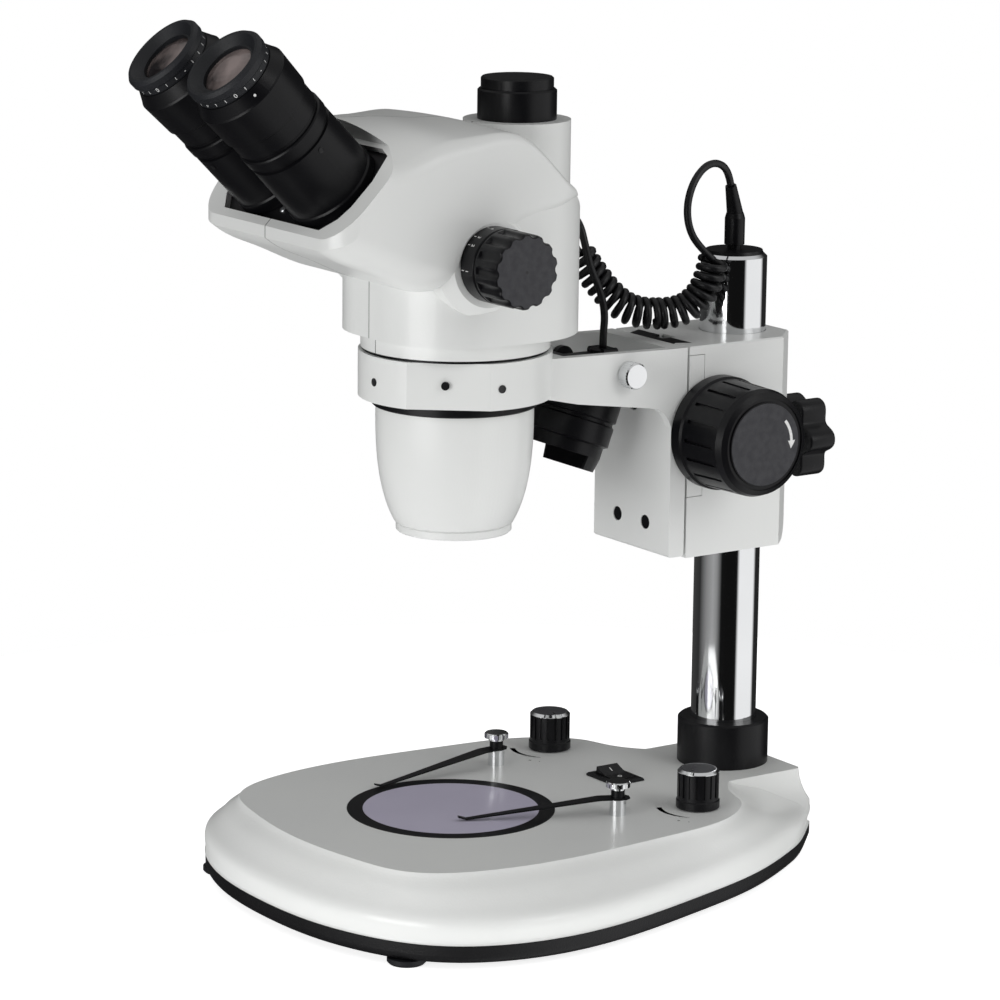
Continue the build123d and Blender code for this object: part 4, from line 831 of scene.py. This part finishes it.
# Brightness knobs: bright bevel, brushed top and pointer; tapered arcs are printed beside them
dimmerSettings = {
    "bevel": [(8.3, 58.62), (8.75, 58.68), (9.98, 57.45), (9.98, 57.2), (9.8, 57.2)],
    "topRadius": 8.3,
    "top": 58.6,
    "topThick": 0.05,
    "segments": 72,
    "pointerAngle": {"right": -70, "left": -15},
    "pointerAway": 6.2,
    "pointerRise": 0.07,
    "pointerSize": (4.2, 0.9),
    "arcRadius": 18.4,
    "arcStart": -120,
    "arcEnd": -49,
    "arcThick": 2.3,
    "arcThin": 0.35,
    "arcTaper": 0.7,
    "arcSteps": 32,
    "signSize": 3.4,
    "signs": (("+", 25.2, -58), ("-", 25.2, -46)),
}


def makeDimmer(side, settings):
    origin, _ = jointLine(f"dimmer_turn_{side}")
    middle = Vector((origin.x, origin.y, 0))
    level = Matrix.Translation(middle)
    bm = lathe(settings["bevel"] + [settings["bevel"][0]], settings["segments"])
    bmesh.ops.transform(bm, matrix=level, verts=bm.verts)
    rim = meshObject(f"dimmerRim{side.capitalize()}", bm)
    sharpen(rim)
    finishPiece(rim, materials["chrome"], f"dimmer_{side}")
    top, radius, raised = settings["top"], settings["topRadius"], settings["top"] + settings["topThick"]
    bm = lathe([(0, top), (radius, top), (radius, raised), (0, raised)], settings["segments"])
    bmesh.ops.transform(bm, matrix=level, verts=bm.verts)
    cap = meshObject(f"dimmerCap{side.capitalize()}", bm, smooth=False)
    finishPiece(cap, satinFace, f"dimmer_{side}")
    angle = radians(settings["pointerAngle"][side])
    heading = Vector((cos(angle), sin(angle), 0))
    rise = Vector((0, 0, (top + settings["pointerRise"]) * mm))
    place = middle + heading * settings["pointerAway"] * mm + rise
    bm = bmesh.new()
    addBar(bm, frameMatrix(place, (0, 0, 1), heading), *settings["pointerSize"])
    pointer = meshObject(f"dimmerPointer{side.capitalize()}", bm, smooth=False)
    finishPiece(pointer, materials["chrome"], f"dimmer_{side}")


def makeDimmerPrint(side, settings):
    origin, _ = jointLine(f"dimmer_turn_{side}")
    level = Matrix.Translation(Vector((origin.x, origin.y, baseTop)))
    bm = bmesh.new()
    thick, thin, taper = settings["arcThick"], settings["arcThin"], settings["arcTaper"]
    arcStrip(bm, settings["arcRadius"], settings["arcStart"], settings["arcEnd"],
             lambda share: thick * (1 - share) ** taper + thin, settings["arcSteps"])
    bmesh.ops.solidify(bm, geom=list(bm.faces), thickness=printHeight)
    bmesh.ops.transform(bm, matrix=level, verts=bm.verts)
    for sign, away, angle in settings["signs"]:
        place = Vector((cos(radians(angle)) * away * mm, sin(radians(angle)) * away * mm, 0))
        addText(bm, level @ Matrix.Translation(place), sign, settings["signSize"])
    mark = meshObject(f"dimmerArc{side.capitalize()}", bm, smooth=False)
    finishPiece(mark, blackInk, "stand")


for side in ("right", "left"):
    makeDimmer(side, dimmerSettings)
    makeDimmerPrint(side, dimmerSettings)
print("brightness knobs dressed")


# Marks for on and off on the mains rocker
rockerSettings = {
    "lineAcross": -3.6,
    "lineSize": (2.6, 0.5),
    "ringAcross": 3.8,
    "ringRadius": 1.1,
    "ringWidth": 0.35,
    "ringHeight": 0.06,
    "segments": 32,
    "reach": 0.05,
}


def rockerSpot(across, settings):
    # Frame on the rocker's top at a place across it
    origin, _ = jointLine("rocker_tip")
    above = origin + Vector((across * mm, 0, settings["reach"]))
    place, normal = surfaceHit("switch_rocker", above, Vector((0, 0, -1)))
    return frameMatrix(place, normal, (1, 0, 0))


def makeRockerMarks(settings):
    bm = bmesh.new()
    addBar(bm, rockerSpot(settings["lineAcross"], settings), *settings["lineSize"])
    outer, height = settings["ringRadius"], settings["ringHeight"]
    inner = outer - settings["ringWidth"]
    ring = lathe([(outer, 0), (outer, height), (inner, height), (inner, 0), (outer, 0)], settings["segments"])
    ringFrame = rockerSpot(settings["ringAcross"], settings)
    bmesh.ops.transform(ring, matrix=ringFrame, verts=ring.verts)
    moveInto(bm, ring)
    marks = meshObject("rockerMarks", bm, smooth=False)
    finishPiece(marks, whiteInk, "rocker")


makeRockerMarks(rockerSettings)
print("rocker marks made")


# The seam between the two halves of the head, drawn as a thin band on both sides of the middle
seamSettings = {
    "width": 0.3,
    "proud": 0.03,
    "thick": 0.03,
    "facingAcross": 0.95,
}


def makeSeam(settings):
    for side, sign in (("right", 1), ("left", -1)):
        bm = bmesh.new()
        bm.from_mesh(nodes[f"head_shell_{side}"].data)
        bmesh.ops.remove_doubles(bm, verts=bm.verts, dist=weldDistance)
        everything = list(bm.verts) + list(bm.edges) + list(bm.faces)
        bmesh.ops.bisect_plane(bm, geom=everything, plane_co=(sign * settings["width"] * mm, 0, 0),
                               plane_no=(sign, 0, 0), clear_outer=True)
        flat = [face for face in bm.faces if abs(face.normal.x) > settings["facingAcross"]]
        bmesh.ops.delete(bm, geom=flat, context="FACES")
        bm.normal_update()
        for vert in bm.verts:
            vert.co += vert.normal * settings["proud"] * mm
        bmesh.ops.solidify(bm, geom=list(bm.faces), thickness=settings["thick"] * mm)
        seam = meshObject(f"headSeam{side.capitalize()}", bm)
        sharpen(seam)
        finishPiece(seam, seamShade, "head")


makeSeam(seamSettings)


# Small bright screw in the mouth's plate, between the tubes
plateScrewSettings = {
    "downSlope": 33.0,
    "across": -2.0,
    "reach": 20,
    "profile": [(0, 0), (1.7, 0), (1.7, 0.5), (1.4, 0.8), (0.5, 0.8), (0.5, 0.3), (0, 0.3)],
    "segments": 24,
}


def makePlateScrew(settings):
    rightFoot, _ = jointLine("ocular_swing_right")
    leftFoot, normal = jointLine("ocular_swing_left")
    upSlope = Vector((1, 0, 0)).cross(normal) * -1
    lower = (rightFoot + leftFoot) / 2 - upSlope * settings["downSlope"] * mm
    spot = lower + Vector((settings["across"] * mm, 0, 0))
    place, facing = surfaceHit("eyepiece_plate", spot + normal * settings["reach"] * mm, -normal)
    bm = lathe(settings["profile"], settings["segments"])
    bmesh.ops.transform(bm, matrix=frameMatrix(place, facing, (1, 0, 0)), verts=bm.verts)
    screw = meshObject("plateScrew", bm, smooth=False)
    finishPiece(screw, materials["steel"], "head")


makePlateScrew(plateScrewSettings)
print("seam and plate screw made")


# Set screws of the holder's ring, and painted covers on the ring and on the front plate
holderSettings = {
    "screwAngles": (-5.5, -89.0),
    "screwZ": 248.8,
    "screwRadius": 1.9,
    "coveredAngles": (-40.0, -129.0),
    "coveredZ": 250.3,
    "coveredRadius": 2.3,
    "ringCoverThick": 0.16,
    "ringCoverGap": 3,
    "ringCoverSegments": 32,
    "plateCover": (0, 100.0, 180.2),
    "plateCoverRadius": 4.4,
    "plateCoverThick": 0.1,
    "plateCoverGap": 6,
    "plateCoverSegments": 48,
    "reach": 60,
}


def coverFrame(start, heading, gap):
    # Frame halfway between the hits above and below the middle
    hits = []
    for offset in (gap, -gap):
        hits.append(surfaceHit("holder_casting", start + Vector((0, 0, offset * mm)), heading))
    place = (hits[0][0] + hits[1][0]) / 2
    return frameMatrix(place, hits[0][1], (0, 0, 1))


def ringLine(angle, height, settings):
    # A start outside the ring, and the heading towards its middle
    outward = Vector((cos(radians(angle)), sin(radians(angle)), 0))
    return optical(0, 0, height) + outward * settings["reach"] * mm, -outward


def makeHolderCovers(settings):
    bm = bmesh.new()
    for angle in settings["coveredAngles"]:
        start, heading = ringLine(angle, settings["coveredZ"], settings)
        addDot(bm, coverFrame(start, heading, settings["ringCoverGap"]), settings["coveredRadius"],
               settings["ringCoverThick"] * mm, settings["ringCoverSegments"])
    start = optical(*settings["plateCover"])
    addDot(bm, coverFrame(start, Vector((0, 1, 0)), settings["plateCoverGap"]), settings["plateCoverRadius"],
           settings["plateCoverThick"] * mm, settings["plateCoverSegments"])
    covers = meshObject("holderCovers", bm, smooth=False)
    finishPiece(covers, materials["white_paint"], "holder")


def makeRingScrews(settings):
    for number, angle in enumerate(settings["screwAngles"], 1):
        start, heading = ringLine(angle, settings["screwZ"], settings)
        place, normal = surfaceHit("holder_casting", start, heading)
        spot = frameMatrix(place, normal, (0, 0, 1))
        screw = makeSocketScrew(f"ringSetScrew{number}", spot, settings["screwRadius"])
        finishPiece(screw, blackInk, "holder")


makeHolderCovers(holderSettings)
makeRingScrews(holderSettings)
print("holder dressed")


# Star knob of the clamp: six rounded lobes with hollow flanks, and its screw
starSettings = {
    "radius": 21.0,
    "valley": 5.4,
    "valleyShape": 1.3,
    "lobes": 6,
    "thick": 16.0,
    "front": 195.0,
    "stemStart": 180.6,
    "stemRadius": 4.0,
    "stemOverlap": 1,
    "stemSegments": 32,
    "round": 1.7,
    "roundSteps": 4,
    "segments": 144,
    "levelEdge": 1e-6,
    "sharpAngle": 40,
}


def starFrame(along):
    # Frame on the clamp's axis, looking back
    origin, _ = jointLine("clamp_turn")
    return frameMatrix(optical(0, along, origin.z / mm), (0, 1, 0), (1, 0, 0))


def starMesh(settings):
    bm = bmesh.new()
    bmesh.ops.create_circle(bm, cap_ends=True, segments=settings["segments"], radius=settings["radius"] * mm)
    for vert in bm.verts:
        angle = atan2(vert.co.y, vert.co.x)
        dip = (0.5 - 0.5 * cos(settings["lobes"] * angle)) ** settings["valleyShape"]
        share = 1 - settings["valley"] * dip / settings["radius"]
        vert.co.x *= share
        vert.co.y *= share
    raised = bmesh.ops.extrude_face_region(bm, geom=list(bm.faces))
    tops = [item for item in raised["geom"] if isinstance(item, bmesh.types.BMVert)]
    bmesh.ops.translate(bm, vec=(0, 0, settings["thick"] * mm), verts=tops)
    rims = []
    for edge in bm.edges:
        if abs(edge.verts[0].co.z - edge.verts[1].co.z) < settings["levelEdge"]:
            rims.append(edge)
    bmesh.ops.bevel(bm, geom=rims, offset=settings["round"] * mm, affect="EDGES",
                    segments=settings["roundSteps"], profile=0.5, material=-1)
    bmesh.ops.transform(bm, matrix=starFrame(settings["front"]), verts=bm.verts)
    return bm


def stemMesh(settings):
    length = settings["front"] - settings["stemStart"] + settings["stemOverlap"]
    radius = settings["stemRadius"]
    bm = lathe([(0, 0), (radius, 0), (radius, length), (0, length)], settings["stemSegments"])
    bmesh.ops.transform(bm, matrix=starFrame(settings["stemStart"]), verts=bm.verts)
    return bm


def makeStarKnob(settings):
    bm = starMesh(settings)
    moveInto(bm, stemMesh(settings))
    knob = meshObject("starKnob", bm)
    sharpen(knob, settings["sharpAngle"])
    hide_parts("clamp_knob")
    finishPiece(knob, materials["black_plastic"], "clamp")


makeStarKnob(starSettings)
print("star knob made")


# Studio; the tones around are pairs of degrees from the camera's direction and brightness
studioSettings = {
    "floor": (0.90, 0.90, 0.90),
    "floorShade": 0.99,
    "floorRadius": 0.5,
    "floorSegments": 96,
    "floorGlow": 0.80,
    "cameraAzimuth": -34.6,
    "around": ((-180, 0.06), (-108, 0.03), (-74, 0.26), (-50, 0.36), (-36, 0.26), (-20, 0.006), (35, 0.006),
               (44, 0.95), (106, 0.95), (118, 0.02)),
    "ceiling": 0.56,
    "ceilingFrom": 0.35,
    "ceilingTo": 0.8,
    "strength": 1.0,
    "keyLight": {"place": (0.5, -2.2, 0.3), "aim": (0, 0, 0.22), "size": (1.6, 1.0), "power": 25.0},
    "fillLight": {"place": (2.0, 0.9, 1.4), "aim": (0, 0, 0.2), "size": (1.0, 1.4), "power": 9.0},
}


def makeFloor(settings):
    bm = bmesh.new()
    bmesh.ops.create_circle(bm, cap_ends=True, segments=settings["floorSegments"],
                            radius=settings["floorRadius"])
    floor = meshObject("floor", bm, smooth=False)
    floor.visible_glossy = False
    paper = newMaterial("paper", settings["floor"], roughness=0.9)
    darker = tuple(value * settings["floorShade"] for value in settings["floor"])
    addTone(paper, settings["floor"], darker, scale=1.5, roughness=(0.88, 0.92))
    shader = paper.node_tree.nodes["Principled BSDF"]
    shader.inputs["Emission Color"].default_value = (1, 1, 1, 1)
    shader.inputs["Emission Strength"].default_value = settings["floorGlow"]
    floor.data.materials.append(paper)


def addMath(tree, operation, sources, values=()):
    # A math node; sources feed its first inputs, values set the next ones
    node = tree.nodes.new("ShaderNodeMath")
    node.operation = operation
    for index, source in enumerate(sources):
        tree.links.new(source, node.inputs[index])
    for index, value in enumerate(values, len(sources)):
        node.inputs[index].default_value = value
    return node.outputs["Value"]


def ringTone(tree, axes, settings):
    # Brightness by the direction round the object
    turned = addMath(tree, "ARCTAN2", (axes.outputs["Y"], axes.outputs["X"]))
    fromCamera = addMath(tree, "SUBTRACT", (turned,), (radians(settings["cameraAzimuth"]),))
    wrapped = addMath(tree, "WRAP", (fromCamera,), (pi, -pi))
    share = tree.nodes.new("ShaderNodeMapRange")
    share.inputs["From Min"].default_value = -pi
    share.inputs["From Max"].default_value = pi
    tree.links.new(wrapped, share.inputs["Value"])
    ring = tree.nodes.new("ShaderNodeValToRGB")
    stops = ring.color_ramp.elements
    while len(stops) < len(settings["around"]):
        stops.new(0.5)
    for stop, (angle, tone) in zip(stops, settings["around"]):
        stop.position = (angle + 180) / 360
        stop.color = (tone, tone, tone, 1)
    tree.links.new(share.outputs["Result"], ring.inputs["Fac"])
    return ring.outputs["Color"]


def ceilingShare(tree, axes, settings):
    height = tree.nodes.new("ShaderNodeMapRange")
    height.interpolation_type = "SMOOTHSTEP"
    height.inputs["From Min"].default_value = settings["ceilingFrom"]
    height.inputs["From Max"].default_value = settings["ceilingTo"]
    tree.links.new(axes.outputs["Z"], height.inputs["Value"])
    return height.outputs["Result"]


def makeWorld(settings):
    # The camera sees plain white; light and reflections come from a ring of soft panels and a ceiling
    world = bpy.data.worlds.new("studio")
    world.use_nodes = True
    tree = world.node_tree
    sky = tree.nodes["Background"]
    sky.inputs["Strength"].default_value = settings["strength"]
    white = tree.nodes.new("ShaderNodeBackground")
    white.inputs["Color"].default_value = (1, 1, 1, 1)
    place = tree.nodes.new("ShaderNodeTexCoord")
    axes = tree.nodes.new("ShaderNodeSeparateXYZ")
    tree.links.new(place.outputs["Generated"], axes.inputs["Vector"])
    above = tree.nodes.new("ShaderNodeMix")
    above.data_type = "RGBA"
    factor, ring, ceiling = above.inputs[0], above.inputs[6], above.inputs[7]
    ceiling.default_value = (settings["ceiling"],) * 3 + (1,)
    tree.links.new(ceilingShare(tree, axes, settings), factor)
    tree.links.new(ringTone(tree, axes, settings), ring)
    tree.links.new(above.outputs[2], sky.inputs["Color"])
    rays = tree.nodes.new("ShaderNodeLightPath")
    either = tree.nodes.new("ShaderNodeMixShader")
    tree.links.new(rays.outputs["Is Camera Ray"], either.inputs["Fac"])
    tree.links.new(sky.outputs["Background"], either.inputs[1])
    tree.links.new(white.outputs["Background"], either.inputs[2])
    tree.links.new(either.outputs["Shader"], tree.nodes["World Output"].inputs["Surface"])
    bpy.context.scene.world = world


def softBox(name, place, aim, size, power):
    data = bpy.data.lights.new(name, "AREA")
    data.shape = "RECTANGLE"
    data.size, data.size_y = size
    data.energy = power
    lamp = addObject(name, data)
    heading = Vector(aim) - Vector(place)
    lamp.rotation_euler = heading.to_track_quat("-Z", "Y").to_euler()
    lamp.location = place


makeFloor(studioSettings)
makeWorld(studioSettings)
for lightName in ("keyLight", "fillLight"):
    softBox(lightName, **studioSettings[lightName])
print("studio lit")
